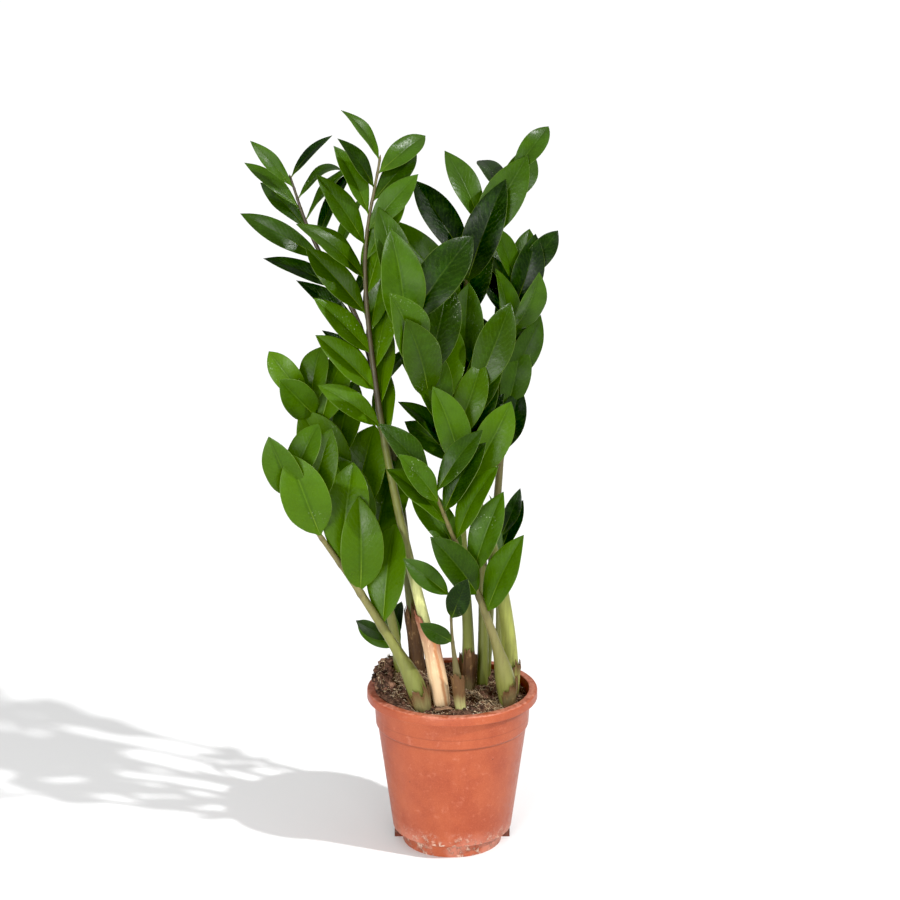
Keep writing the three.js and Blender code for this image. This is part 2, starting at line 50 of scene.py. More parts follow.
# Pot
POT_SEGMENTS = 144
WALL = 1.8
FLOOR_THICKNESS = 2.6
BASE_RADIUS = 50
BASE_HEIGHT = 15
BASE_DRAFT = 0.5
FOOT_RADIUS = 59.8
FOOT_SLOPE = 1.2
STEP_HEIGHT = 125
STEP_SLOPE = 2
BELOW_STEP_RADIUS = 74.4
COLLAR_RADIUS = 76.4
NECK_RADIUS = 78.4
RIM_HEIGHT = 162
RIM_RADIUS = 85
RIM_BAND = 9
RIM_SKIRT = 1.8
LIP_ROUND = 1.1
CORNER_ROUND = 0.5
CORNER_STEPS = 4
LONGEST_CUT = 0.45
SHARP_ANGLE = 40
DRAIN_HOLES = 6
DRAIN_RADIUS = 4
DRAIN_CIRCLE = 34
DRAIN_SIDES = 32
LUG = SimpleNamespace(outer=58.5, width=2.4, height=15.8)

# Marks on the pot, as heights: the rubbed lip, pale partly as wear and partly as a painted highlight, the
# lime at the foot and a faint line above the step
LIP_WEAR_AND_HIGHLIGHT = (160.5, 161.8)
LIMED = (12, 34)
MOULD_LINE = 10

# Potting mix
SOIL_LEVEL = 157
SOIL_SLOPE = 0.07
SOIL_BUMP = 1.6
BUMPS = SimpleNamespace(x=0.21, y=0.17, slant_x=0.09, slant_y=0.13, shift=1.3)
ROUGHNESS = SimpleNamespace(shift=(17.3, 5.1, 9.7), fineness=0.9, step=2.1)
HEAP = SimpleNamespace(x=-52, y=18, reach_x=34, reach_y=46, height=17)
SOIL_GAP = 0.8
SOIL_RINGS = 56
SOIL_SEGMENTS = 180
LUMPS = [(2.2, 13, 1), (0.9, 3.5, 2)]
MIX_REACH = 74
CLUMP = ((150, 205), (60, 79))
FRONT_BAND = ((-75, -15), (58, 75))
LONGEST_LUMP_EDGE = 1.1
CRUMB = SimpleNamespace(count=1500, smallest=0.7, spread=1.9, fineness=2.5, flatness=0.7, lift=0.3)
HEAPED = SimpleNamespace(
    count=420, smallest=1.2, spread=2.6, fineness=2, flatness=0.8, rise=(-3, 8.5), edge=0.35,
)
CHIP = SimpleNamespace(count=260, sizes=(0.45, 1), flatness=0.5, lift=0.9)
FRONT_CHIP = SimpleNamespace(count=60, sizes=(0.6, 1.5), flatness=0.5, lift=1)
BIT = SimpleNamespace(narrowness=(0.55, 1), unevenness=(-0.3, 0.3), shades=(0.6, 1.35))
FIBRE = SimpleNamespace(
    count=2000, reach=73, limit=75, steps=6, sides=3, length=(2.5, 9), radius=(0.13, 0.26),
    swing=(-1.6, 1.6), tangled_swing=2.2, lift=(0.2, 1.4), heap_lift=5, end_lift=2.2, shades=(0.65, 1.15),
)
TANGLES = [(-52, -10), (-44, 12), (28, 20), (20, -8), (44, -40)]
TANGLE_REACH = 9
TANGLED_SHARE = 0.6
CLUMP_SHARE = 0.16
SCRAP = SimpleNamespace(
    x=-8, y=-62, reach=8.5, width=3.4, thickness=0.4, rows=9, columns=13, slant=1.2, point=0.6, lift=2.6,
)
SCRAP_CURL = SimpleNamespace(cup=1.6, wave=1.1, waves=2.6, ripple=0.4, ripples=5)

# Stems
STEM_TAPER = 1.1
BULGE_HEIGHT = 24
BULGE_REACH = 26
LINE_STEPS = 60
FRAME_STEP = 0.002
STALK_SIDES = 16
STALK_SPACING = 3
STALK_RIBS = SimpleNamespace(count=5, height=0.025)
STALK_TIP = SimpleNamespace(length=6, share=0.3)
JOINT_SWELL = 0.16
JOINT_REACH = 2.4
JOINT_SHADE = 0.3
RING = SimpleNamespace(shade=0.7, reach=1.5, slant=1.5, middle=0.45, swing=0.55, turn=2.2, faintest=0.1)
STALK_SLIMMING = 0.26
SLIMMING_START = 0.3
SLIMMING_LENGTH = 0.4

# Leaflets as they grow: half widths are shares of the leaflet's own half width, at shares of its length.
STATION_PLACES = [0, 0.09, 0.36, 0.68, 1]
STATION_WIDTHS = [0.08, 0.12, 0.92, 0.88, 0.02]
BLADE_FOLD = 0.2
BLADE_ARCH = 0.1
LAST_LEAFLET = 0.99
SAMPLE_ROWS = 11
SAMPLE_COLUMNS = 5
BLADE_CLEARANCE = 4
STEM_CLEARANCE = 2.5
OWN_ROOT_SHARE = 0.22
END_MARGIN = 0.04
TURNS = [0, 8, -8, 16, -16, 24, -24, 32, -32]
SWINGS = [0, -8, 8, -16, 16]
TWISTS = [0, 16, -16]

# The most by which a value differs from leaflet to leaflet, and the number of its draw
VARY = dict(
    spread=(5, 1), lift=(8, 2), roll=(14, 3), length=(0.06, 4), width=(0.08, 5), arch=(0.05, 6),
    skew=(0.1, 11), fullness=(0.15, 12), waves=(0.5, 13), wave_start=(1, 14), fold=(0.35, 15),
    twist=(9, 16), bend=(0.03, 17), curl=(0.45, 18), fresh=(0.35, 19), depth=(0.5, 20), age=(0.5, 21),
)
DRAW = SimpleNamespace(stem=12.9898, leaf=78.233, kind=37.719, scale=43758.5453)

# Leaflets as they show
LEAF_ROWS = 26
LEAF_COLUMNS = [-1, -0.95, -0.8, -0.58, -0.34, -0.13, -0.04, 0, 0.04, 0.13, 0.34, 0.58, 0.8, 0.95, 1]
LEAF_THICKNESS = 0.9
MARGIN_THICKNESS = 0.4
KEEL_HEIGHT = 0.7
KEEL_WIDTH = 0.9
KEEL_TAPER = 0.6
TIP_THINNING = 0.4
MIDRIB_WIDTH = 0.5
LOBE_RISE = 0.04
MARGIN_WAVE = 0.012
WAVE_SHIFT = 1.3
WEDGE = SimpleNamespace(start=0.4, end=0.17)
END_WIDTHS = (0.062, 0.012)
SLIM_RATIO = 0.25
LEAF = SimpleNamespace(fullness=1.7, ratio_fullness=3.5, skew=0.14, fold=1.3, waves=1.6, curl=0.55, fresh=0.8)
CURL_FROM = 0.35
TIGHT_CURL = SimpleNamespace(curl=3.4, start=0.42)
UPPER, LOWER, STALK = 0, 1, 2

# Sheaths
SHEATH_ROWS = 30
SHEATH_COLUMNS = 56
SHEATH_THICKNESS = 0.6
SHEATH_DEPTH = 6
SHEATH_GAP = 0.7
SHEATH_SLANT = 0.3
SHEATH_LOOSENESS = 0.4
SHEATH_SHARES = [0.1, 0.5, 0.95]
WRINKLE = SimpleNamespace(height=0.35, waves=23, slant=2, swells=9)
EDGE_FLARE = SimpleNamespace(reach=1.4, sharpness=8)
TOP_FLARE = SimpleNamespace(reach=1.1, sharpness=6)
TEAR = SimpleNamespace(round=4, size=1, small_size=0.3, small_share=0.8, small_seed=9)
TALL_SHEATH = 48
FRACTION_STEP = 0.001


def tone(red, green, blue):
    """A colour as the eye reads it, 0 to 255 a channel, in the linear numbers that the shaders take."""
    shares = [channel / 255 for channel in (red, green, blue)]
    return [s / 12.92 if s <= 0.04045 else ((s + 0.055) / 1.055) ** 2.4 for s in shares] + [1]


CREAM = tone(186, 188, 124)
LIME = tone(142, 147, 72)
OLIVE = tone(96, 102, 46)
SAGE = tone(110, 112, 56)
TAN = tone(88, 80, 50)
KHAKI = tone(110, 104, 64)
BARK = tone(52, 44, 32)
UMBER = tone(88, 62, 36)
RUST = tone(128, 78, 56)
PEACH = tone(206, 178, 140)
EARTH = tone(66, 44, 22)


def grown(name, path, sheath=None, **values):
    """One stem's values, with the common ones filled in."""
    common = dict(bulge=0.5, faces=(0, 0), first_side=1, curled=None, rings=())
    papery = SimpleNamespace(**sheath) if sheath else None
    return SimpleNamespace(name=name, path=path, sheath=papery, **(common | values))


# Each stem's path runs from its foot in the mix to its tip. Leaflets start at the share `start` of the path,
# alternate from side to side, and lie in a sheet that looks towards `faces` (degrees, 0 is the front and
# 90 the right) at the first leaflet and at the last. `left` and `right` give each row's angle to the stem,
# `lift` how far the rows stand forward out of the sheet, and `roll` how far their faces turn in to the stem.
# `size` is the leaflet's length at the first, middle and last place. `fresh` is how yellow-green the first
# and last leaflets are. `stalk` lists colours at shares of the path. A sheath is `rise` high, reaches `arc`
# degrees round the stem, and is centred on `turn`, measured as `faces` is.
STEMS = [
    grown(
        "stem_main",
        path=[
            (-4, -36, 118), (-19, -37, 208), (-48, -28, 333),
            (-71, -20, 460), (-82, -12, 590), (-67, -4, 690),
        ],
        radius=(6.6, 1.5), bulge=1.5, start=0.53, count=18, size=(76, 84, 60), ratio=0.34,
        left=(32, 34), right=(10, 38), lift=(16, -10), roll=(40, 14),
        fresh=(0.75, 0), rings=(292, 349, 381, 424),
        stalk=[(0.2, CREAM), (0.32, CREAM), (0.42, SAGE), (0.5, OLIVE), (0.6, BARK), (1, TAN)],
        sheath=dict(rise=106, arc=320, turn=-60, colours=(PEACH, PEACH, RUST), ragged=0.1),
    ),
    grown(
        "stem_tall_left",
        path=[
            (-30, 20, 118), (-42, 26, 250), (-58, 38, 385), (-90, 50, 516), (-136, 60, 603), (-158, 66, 664),
        ],
        radius=(6, 1.5), start=0.5, count=15, size=(62, 88, 56), ratio=0.25,
        faces=(0, -10), left=(36, 16), right=(40, 54), lift=(10, -10), roll=(34, 44),
        fresh=(0.2, 0), stalk=[(0.1, OLIVE), (0.5, BARK), (1, BARK)], curled=12,
        sheath=dict(rise=100, arc=320, turn=20, colours=(EARTH, EARTH, UMBER), ragged=0.25),
    ),
    grown(
        "stem_tall_right",
        path=[(30, 20, 118), (31, 26, 254), (24, 32, 366), (10, 36, 500), (20, 40, 590), (58, 48, 668)],
        radius=(5.6, 1.5), start=0.42, count=14, size=(84, 116, 64), ratio=0.37,
        faces=(0, 10), left=(46, 38), right=(-2, 12), lift=(-14, 8), roll=(14, 8), first_side=-1,
        fresh=(0.2, 0.1), stalk=[(0.1, OLIVE), (0.4, TAN), (1, OLIVE)],
    ),
    grown(
        "stem_arching",
        path=[(56, -2, 118), (55, -7, 220), (33, -20, 331), (-2, -34, 421), (-33, -43, 490), (-50, -46, 546)],
        radius=(8.6, 1.7), bulge=1, start=0.5, count=12, size=(86, 106, 108), ratio=0.37,
        faces=(10, 10), left=(-12, -10), right=(46, 50), lift=(16, 0), roll=(24, 14),
        fresh=(0.5, 0.2), stalk=[(0.1, LIME), (0.2, LIME), (0.35, OLIVE), (0.55, TAN), (1, TAN)],
        sheath=dict(rise=42, arc=330, turn=30, colours=(BARK, LIME, UMBER), ragged=0.35),
    ),
    grown(
        "stem_front_left",
        path=[(-23, -48, 118), (-38, -50, 187), (-88, -60, 280), (-131, -72, 350), (-151, -80, 392)],
        radius=(6.6, 1.5), bulge=4, start=0.4, count=7, size=(98, 94, 60), ratio=0.44,
        faces=(0, -10), left=(-40, 0), right=(38, 40), lift=(18, -10), roll=(6, 16),
        fresh=(1, 0.3), stalk=[(0.1, SAGE), (0.2, OLIVE), (0.36, SAGE), (0.5, KHAKI), (1, TAN)],
        sheath=dict(rise=34, arc=180, turn=30, colours=(TAN, KHAKI, UMBER), ragged=0.4),
    ),
    grown(
        "stem_mid_left",
        path=[(-44, 4, 118), (-62, 2, 240), (-88, -4, 322), (-122, -12, 420), (-140, -18, 462)],
        radius=(5.4, 1.4), start=0.42, count=10, size=(104, 80, 54), ratio=0.48,
        faces=(0, -10), left=(-6, 10), right=(26, 34), lift=(10, -14), roll=(14, 10),
        fresh=(0.5, 0.6), stalk=[(0.1, OLIVE), (0.5, TAN), (1, OLIVE)],
    ),
    grown(
        "stem_front_right",
        path=[(54, -26, 116), (51, -32, 186), (28, -48, 266), (-3, -64, 346), (-20, -76, 394)],
        radius=(6.2, 1.5), bulge=4.4, start=0.46, count=10, size=(98, 80, 74), ratio=0.36,
        faces=(0, 10), left=(10, 14), right=(38, 46), lift=(4, 4), roll=(44, 44),
        fresh=(0.35, 0.15), stalk=[(0.1, SAGE), (0.22, SAGE), (0.4, KHAKI), (1, TAN)],
        sheath=dict(rise=30, arc=190, turn=70, colours=(UMBER, TAN, UMBER), ragged=0.5),
    ),
    grown(
        "stem_rosette",
        path=[(14, 10, 118), (16, 10, 207), (10, 0, 322), (10, -8, 395), (17, -14, 458)],
        radius=(6.6, 2), bulge=0.8, start=0.7, count=7, size=(84, 96, 100), ratio=0.34,
        faces=(0, 20), left=(36, 32), right=(24, 14), lift=(0, 8), roll=(44, 20),
        fresh=(0.1, 0.3), stalk=[(0.1, LIME), (0.3, OLIVE), (0.7, OLIVE), (1, TAN)],
        sheath=dict(rise=50, arc=330, turn=10, colours=(TAN, EARTH, UMBER), ragged=0.3),
    ),
    grown(
        "stem_right",
        path=[(32, 50, 118), (40, 58, 261), (50, 60, 406), (56, 60, 504), (66, 62, 566)],
        radius=(5.4, 1.7), start=0.46, count=15, size=(76, 88, 62), ratio=0.38,
        faces=(30, 40), left=(20, 26), right=(2, 6), lift=(-12, 14), roll=(20, 30),
        fresh=(0.1, 0.15), stalk=[(0.1, OLIVE), (0.5, TAN), (1, OLIVE)],
    ),
    grown(
        "shoot_front",
        path=[(12, -46, 122), (5, -54, 190), (0, -64, 235), (-2, -73, 282)],
        radius=(3.6, 1.3), bulge=1.5, start=0.64, count=3, size=(46, 52, 62), ratio=0.4,
        left=(38, 44), right=(20, 20), lift=(14, 8), roll=(24, 24), first_side=-1,
        fresh=(0.2, 0.1), stalk=[(0.2, CREAM), (0.32, TAN), (1, TAN)],
        sheath=dict(rise=46, arc=320, turn=-20, colours=(CREAM, UMBER, UMBER), ragged=0.2),
    ),
    grown(
        "shoot_left",
        path=[(-46, 42, 126), (-52, 47, 160), (-59, 52, 193)],
        radius=(3.4, 1.2), bulge=1, start=0.8, count=4, size=(50, 50, 44), ratio=0.4,
        faces=(0, -20), left=(40, 50), right=(2, 12), lift=(0, 10), roll=(20, 20),
        fresh=(0.1, 0.2), stalk=[(0.1, OLIVE), (1, TAN)],
    ),
    grown(
        "shoot_right",
        path=[(48, 30, 118), (47, 36, 205), (46, 42, 270), (48, 44, 304)],
        radius=(3.6, 1.4), bulge=1, start=0.55, count=5, size=(58, 62, 52), ratio=0.32,
        faces=(20, 40), left=(14, 16), right=(20, 22), lift=(6, 10), roll=(44, 44),
        fresh=(0.1, 0.1), stalk=[(0.1, OLIVE), (1, TAN)],
    ),
]

# ---- How the plant grows ----

def vary(stem_number, leaf_number, what):
    """A fixed small difference, so that every leaflet differs and the plant is the same each time."""
    most, kind = VARY[what]
    wave = math.sin(stem_number * DRAW.stem + leaf_number * DRAW.leaf + kind * DRAW.kind) * DRAW.scale
    return most * (2 * (wave - math.floor(wave)) - 1)


def mix(start, end, share):
    return start + (end - start) * share


def dot(first, second):
    return (first * second).sum(axis=-1)


def unit(vector):
    return vector / np.sqrt(dot(vector, vector))[..., None]


def grid(*parts):
    """Points whose coordinates are given apart, as numbers or as arrays that fit each other."""
    return np.stack(np.broadcast_arrays(*parts), axis=-1)


def angles_round(sides):
    return 2 * math.pi * np.arange(sides) / sides


def ring(radius, height, angles):
    return grid(radius * np.cos(angles), radius * np.sin(angles), height)


def hump(distance, reach):
    """1 where the distance is 0, falling smoothly to nearly 0 at twice the reach."""
    return np.exp(-((distance / reach) ** 2))


def point_on(path, fraction):
    """Places on a smooth curve through the path's points, from 0 at the foot to 1 at the tip."""
    fraction = np.asarray(fraction, float)
    points = np.array(path, float)
    last = len(points) - 1
    padded = np.vstack([2 * points[0] - points[1], points, 2 * points[-1] - points[-2]])
    span = np.clip(np.floor(fraction * last), 0, last - 1).astype(int)
    t = (fraction * last - span)[..., None]
    before, start, end, after = (padded[span + i] for i in range(4))
    leave = (end - before) / 2
    arrive = (after - start) / 2
    cubic = 2 * start - 2 * end + leave + arrive
    square = 3 * end - 3 * start - 2 * leave - arrive
    return ((cubic * t + square) * t + leave) * t + start


def frame_on(path, fraction, faces=0):
    """Directions at a place on a path: along it, the way its leaflet sheet looks, and the sheet's right."""
    fraction = np.asarray(fraction, float)
    along = unit(point_on(path, fraction + FRAME_STEP) - point_on(path, fraction - FRAME_STEP))
    angle = math.radians(faces)
    look = np.array([math.sin(angle), -math.cos(angle), 0])
    look = unit(look - along * dot(along, look)[..., None])
    return along, look, np.cross(along, look)


def stem_radius(stem, fraction):
    height = point_on(stem.path, fraction)[..., 2] - SOIL_LEVEL
    bulge = stem.bulge * hump(height - BULGE_HEIGHT, BULGE_REACH)
    return mix(*stem.radius, np.maximum(0, fraction) ** STEM_TAPER) + bulge


def leaf_fraction(stem, leaf_number):
    return mix(stem.start, LAST_LEAFLET, leaf_number / (stem.count - 1))


def blade_at(stem, stem_number, leaf_number, turn, swing, twist):
    """A blade's place: its root, its own three directions, length, half width and arch."""
    differ = partial(vary, stem_number, leaf_number)
    share = leaf_number / (stem.count - 1)
    fraction = leaf_fraction(stem, leaf_number)
    side = stem.first_side if leaf_number % 2 == 0 else -stem.first_side
    along, look, right = frame_on(stem.path, fraction, mix(*stem.faces, share))
    hand = 0 if side < 0 else 1
    row = (stem.left, stem.right)[hand]
    spread = math.radians(mix(*row, share) + swing + differ("spread"))
    lift = math.radians(stem.lift[hand] + turn + differ("lift"))
    roll = math.radians(twist + differ("roll") - side * stem.roll[hand])
    first, middle, last = stem.size
    size = mix(first, middle, 2 * share) if share < 0.5 else mix(middle, last, 2 * share - 1)
    length = size * (1 + differ("length"))
    in_sheet = along * math.cos(spread) + right * side * math.sin(spread)
    forward = unit(in_sheet * math.cos(lift) + look * math.sin(lift))
    flat = unit(look - forward * dot(look, forward))
    face = flat * math.cos(roll) + np.cross(forward, flat) * math.sin(roll)
    blade = SimpleNamespace(
        root=point_on(stem.path, fraction),
        forward=forward,
        face=face,
        across=np.cross(forward, face),
        length=length,
        half_width=length * stem.ratio * (1 + differ("width")) / 2,
        arch=BLADE_ARCH + differ("arch"),
        stem_number=stem_number,
        leaf_number=leaf_number,
        share=share,
        differ=differ,
    )
    blade.samples = blade_samples(blade)
    return blade


def grown_width(along):
    return np.interp(along, STATION_PLACES, STATION_WIDTHS)


def blade_rise(arch, length, along, sideways):
    """How far a blade's middle surface stands off the flat sheet through its root."""
    return BLADE_FOLD * np.abs(sideways) - arch * length * along * along


SAMPLE_ALONG = np.repeat(np.arange(1, SAMPLE_ROWS + 1) / SAMPLE_ROWS, SAMPLE_COLUMNS)
SAMPLE_ACROSS = np.tile(np.linspace(-1, 1, SAMPLE_COLUMNS), SAMPLE_ROWS)


def blade_samples(blade):
    sideways = SAMPLE_ACROSS * blade.half_width * grown_width(SAMPLE_ALONG)
    rise = blade_rise(blade.arch, blade.length, SAMPLE_ALONG, sideways)
    forward = np.outer(SAMPLE_ALONG * blade.length, blade.forward)
    return blade.root + forward + np.outer(sideways, blade.across) + np.outer(rise, blade.face)


def gap_to_sheets(points, sheets, is_own):
    """The smallest distance from sampled points to blades' sheets, where they lie over or under them."""
    offset = points - sheets.root
    place = dot(offset, sheets.forward) / sheets.length
    sideways = dot(offset, sheets.across)
    reach = sheets.half_width * grown_width(np.clip(place, 0, 1)) + BLADE_CLEARANCE
    is_beside = (place < -END_MARGIN) | (place > 1 + END_MARGIN) | (np.abs(sideways) > reach)
    is_shared_root = is_own & (np.minimum(place, SAMPLE_ALONG) < OWN_ROOT_SHARE)
    gap = np.abs(dot(offset, sheets.face) - blade_rise(sheets.arch, sheets.length, place, sideways))
    return np.where(is_beside | is_shared_root, np.inf, gap).min()


def gap_to_stems(blade, lines):
    apart = blade.samples[:, None] - lines.places
    gap = np.sqrt(dot(apart, apart)) - lines.radii
    is_root = (lines.numbers == blade.stem_number) & (SAMPLE_ALONG < OWN_ROOT_SHARE)[:, None]
    return np.where(is_root, np.inf, gap).min()


def stacked(blades):
    """The places of several blades, shaped to be compared with rows of sampled points."""
    sheets = SimpleNamespace(samples=np.array([blade.samples for blade in blades]))
    for name in ("root", "forward", "face", "across", "length", "half_width", "arch", "stem_number"):
        setattr(sheets, name, np.array([getattr(blade, name) for blade in blades])[:, None])
    return sheets


def room_for(blade, placed, lines):
    """How much room a blade keeps, where 1 is enough on every side."""
    room = gap_to_stems(blade, lines) / STEM_CLEARANCE
    near = [other for other in placed if math.dist(blade.root, other.root) < blade.length + other.length]
    if near:
        others = stacked(near)
        is_own = others.stem_number == blade.stem_number
        to_others = gap_to_sheets(blade.samples, others, is_own)
        from_others = gap_to_sheets(others.samples, blade, is_own)
        room = min(room, to_others / BLADE_CLEARANCE, from_others / BLADE_CLEARANCE)
    return room


def stem_lines():
    """All the stems as rows of points with their radii."""
    fractions = np.arange(LINE_STEPS + 1) / LINE_STEPS
    return SimpleNamespace(
        places=np.concatenate([point_on(stem.path, fractions) for stem in STEMS]),
        radii=np.concatenate([stem_radius(stem, fractions) for stem in STEMS]),
        numbers=np.repeat(np.arange(len(STEMS)), LINE_STEPS + 1),
    )


def grow_blades():
    """Every leaflet takes the first try that clears what has grown before it, or else the roomiest one."""
    lines = stem_lines()
    placed = []
    for stem_number, stem in enumerate(STEMS):
        for leaf_number in range(stem.count):
            best = None
            for twist, swing, turn in product(TWISTS, SWINGS, TURNS):
                blade = blade_at(stem, stem_number, leaf_number, turn, swing, twist)
                blade.room = room_for(blade, placed, lines)
                if best is None or blade.room > best.room:
                    best = blade
                if best.room >= 1:
                    break
            placed.append(best)
    return placed


# ---- Meshes ----

def new_mesh(name, points, faces):
    mesh = bpy.data.meshes.new(name)
    mesh.from_pydata((np.asarray(points, float) * MM).tolist(), [], faces)
    return mesh


def new_object(name, data):
    made = bpy.data.objects.new(name, data)
    bpy.context.scene.collection.objects.link(made)
    return made


def place_piece(name, mesh, node):
    piece = new_object(name, mesh)
    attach(piece, "root")
    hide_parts(node)
    return piece


class Shape:
    """The points, faces, face materials, map places and tints of one mesh, gathered part by part."""

    def __init__(self):
        self.points = []
        self.maps = []
        self.tints = []
        self.faces = []
        self.finishes = []
        self.count = 0

    def add(self, points, faces, tints, maps=(0.0, 0.0), finishes=0):
        """Tints, map places and finishes may be one for the whole part, or one for each point or face."""
        points = np.reshape(points, (-1, 3))
        self.points.append(points)
        self.tints.append(np.broadcast_to(np.reshape(tints, (-1, 4)), (len(points), 4)))
        self.maps.append(np.broadcast_to(np.reshape(maps, (-1, 2)), (len(points), 2)))
        self.faces.extend([[corner + self.count for corner in face] for face in faces])
        self.finishes.extend(np.broadcast_to(finishes, len(faces)).tolist())
        self.count += len(points)

    def build(self, name, materials, node, smooth=True):
        mesh = new_mesh(name, np.concatenate(self.points), self.faces)
        corners = np.array([loop.vertex_index for loop in mesh.loops])
        layer = mesh.uv_layers.new(name="leaf_map")
        layer.data.foreach_set("uv", np.concatenate(self.maps)[corners].ravel())
        tint = mesh.color_attributes.new("tint", "FLOAT_COLOR", "POINT")
        tint.data.foreach_set("color", np.concatenate(self.tints).ravel())
        mesh.polygons.foreach_set("material_index", self.finishes)
        mesh.polygons.foreach_set("use_smooth", [smooth] * len(mesh.polygons))
        for material in materials:
            mesh.materials.append(material)
        mesh.update()
        place_piece(name, mesh, node)


def tube_faces(rows, sides):
    """Faces of a tube whose rings run one after another, with a cap at each end."""
    faces = []
    for low, side in product(range(0, (rows - 1) * sides, sides), range(sides)):
        after = (side + 1) % sides
        high = low + sides
        faces.append([low + side, low + after, high + after, high + side])
    last = (rows - 1) * sides
    return faces + [list(range(sides))[::-1], list(range(last, last + sides))]


def plate_faces(rows, columns):
    """Faces of a thin plate: its front grid of points, then its back grid, closed along the four edges."""
    back = rows * columns
    faces = []
    for row, column in product(range(rows - 1), range(columns - 1)):
        start = row * columns + column
        quad = [start, start + 1, start + columns + 1, start + columns]
        faces.append(quad)
        faces.append([back + corner for corner in reversed(quad)])
    numbers = np.arange(back).reshape(rows, columns)
    edge = [numbers[0], numbers[1:, -1], numbers[-1, -2::-1], numbers[-2:0:-1, 0]]
    edge = np.concatenate(edge).tolist()
    for corner, after in zip(edge, edge[1:] + edge[:1]):
        faces.append([after, corner, back + corner, back + after])
    return faces


def roughness_at(points, size, seed, octaves=4):
    """Uneven heights from about -1 to 1 at the points, with lumps of the given size in millimetres."""
    shift = Vector([seed * distance for distance in ROUGHNESS.shift])
    kind = (ROUGHNESS.fineness, ROUGHNESS.step, octaves)
    return np.array([noise.fractal(Vector(point) / size + shift, *kind) for point in points])


# ---- Leaflets and stalks ----

def leaf_width(along, skew, fullness):
    """Share of the half width at a share of the length: a wedge-shaped base and a short pointed tip."""
    lens = 1 - np.abs(2 * along ** (1 + skew) - 1) ** fullness
    wedge = np.clip(along / WEDGE.end, 0, 1)
    wedge = wedge * wedge * (3 - 2 * wedge)
    return np.maximum(lens * mix(WEDGE.start, 1, wedge), mix(*END_WIDTHS, along))


def leaf_rings(blade, curl, curl_from):
    """Rings round a leaflet, from its root to its tip: the upper face from side to side, then the lower."""
    differ = blade.differ
    slenderness = 2 * blade.half_width / blade.length
    fullness = LEAF.fullness + LEAF.ratio_fullness * (slenderness - SLIM_RATIO) + differ("fullness")
    even = np.linspace(0, 1, LEAF_ROWS)
    along = mix((1 - np.cos(math.pi * even)) / 2, even, 0.5)[:, None]
    across = np.array(LEAF_COLUMNS)[None]
    half = blade.half_width * leaf_width(along, LEAF.skew + differ("skew"), fullness)
    sideways = across * half
    rounded_fold = np.sqrt(sideways ** 2 + MIDRIB_WIDTH ** 2) - MIDRIB_WIDTH
    lobe = LOBE_RISE * half * (1 - (2 * np.abs(across) - 1) ** 2)
    waves = (LEAF.waves + differ("waves")) * along + differ("wave_start")
    wave = np.sin(2 * math.pi * waves + WAVE_SHIFT * np.sign(across)) * across ** 2 * np.sin(math.pi * along)
    rise = BLADE_FOLD * (LEAF.fold + differ("fold")) * rounded_fold + lobe
    rise = rise + MARGIN_WAVE * blade.length * wave
    rise = rise + np.tan(math.radians(differ("twist")) * along) * sideways
    bend = differ("bend") * blade.length * along ** 2

    angle = curl * np.maximum(0, along - curl_from)
    reach = np.minimum(along, curl_from) + np.sin(angle) / curl
    drop = (1 - np.cos(angle)) / curl + blade.arch * along ** 2
    face = blade.face * np.cos(angle)[..., None] + blade.forward * np.sin(angle)[..., None]
    middle = (
        blade.root + blade.forward * (reach * blade.length)[..., None]
        - blade.face * (drop * blade.length)[..., None]
        + blade.across * (sideways + bend)[..., None] + face * rise[..., None]
    )
    thick = mix(LEAF_THICKNESS, MARGIN_THICKNESS, np.abs(across) ** 3) * (1 - TIP_THINNING * along) / 2
    keel = KEEL_HEIGHT * hump(sideways, KEEL_WIDTH) * (1 - along) ** KEEL_TAPER
    upper = middle + face * thick[..., None]
    lower = middle - face * (thick + keel)[..., None]
    rings = np.concatenate([upper, lower[:, ::-1]], axis=1)
    return rings, grid(np.concatenate([across, across[:, ::-1]], axis=1) / 2 + 0.5, along)


def add_leaflet(shape, stem, blade):
    curl, curl_from = LEAF.curl + blade.differ("curl"), CURL_FROM
    if stem.curled == blade.leaf_number:
        curl, curl_from = TIGHT_CURL.curl, TIGHT_CURL.start
    rings, maps = leaf_rings(blade, curl, curl_from)
    rows, sides = rings.shape[:2]
    upper_sides = len(LEAF_COLUMNS) - 1
    around = [UPPER] * upper_sides + [LOWER] * (sides - 1 - upper_sides) + [UPPER]
    finishes = around * (rows - 1) + [LOWER, UPPER]
    fresh = np.clip(mix(*stem.fresh, blade.share) * (LEAF.fresh + blade.differ("fresh")), 0, 1)
    tint = [0.5 + blade.differ("depth"), fresh, 0.5 + blade.differ("age"), 1]
    shape.add(rings, tube_faces(rows, sides), tint, maps, finishes)


def from_joints(stem, fractions):
    """For each leaflet, how far the places on its stem are from its joint."""
    joints = leaf_fraction(stem, np.arange(stem.count))
    return (fractions - joints[:, None]) * stem_length(stem)


def stalk_colours(stem, fractions, heights, angles):
    """A colour for each ring and side of a stalk, with dark part rings on the main stem and at the joints."""
    places = [place for place, _ in stem.stalk]
    colours = np.array([colour for _, colour in stem.stalk])
    along = grid(*(np.interp(fractions, places, channel) for channel in colours.T))
    tints = np.repeat(along[:, None], len(angles), axis=1)
    for number, height in enumerate(stem.rings):
        across = RING.middle + RING.swing * np.sin(angles * (1 + number % 2) + RING.turn * number)
        from_ring = heights[:, None] - height - RING.slant * np.sin(angles + number)
        dark = RING.shade * np.clip(across, RING.faintest, 1) * hump(from_ring, RING.reach)
        tints[..., :3] *= (1 - dark)[..., None]
    for from_joint in from_joints(stem, fractions):
        tints[..., :3] *= (1 - JOINT_SHADE * hump(from_joint, JOINT_REACH))[:, None, None]
    return tints


def stem_length(stem):
    steps = np.diff(point_on(stem.path, np.linspace(0, 1, LINE_STEPS + 1)), axis=0)
    return np.sqrt(dot(steps, steps)).sum()


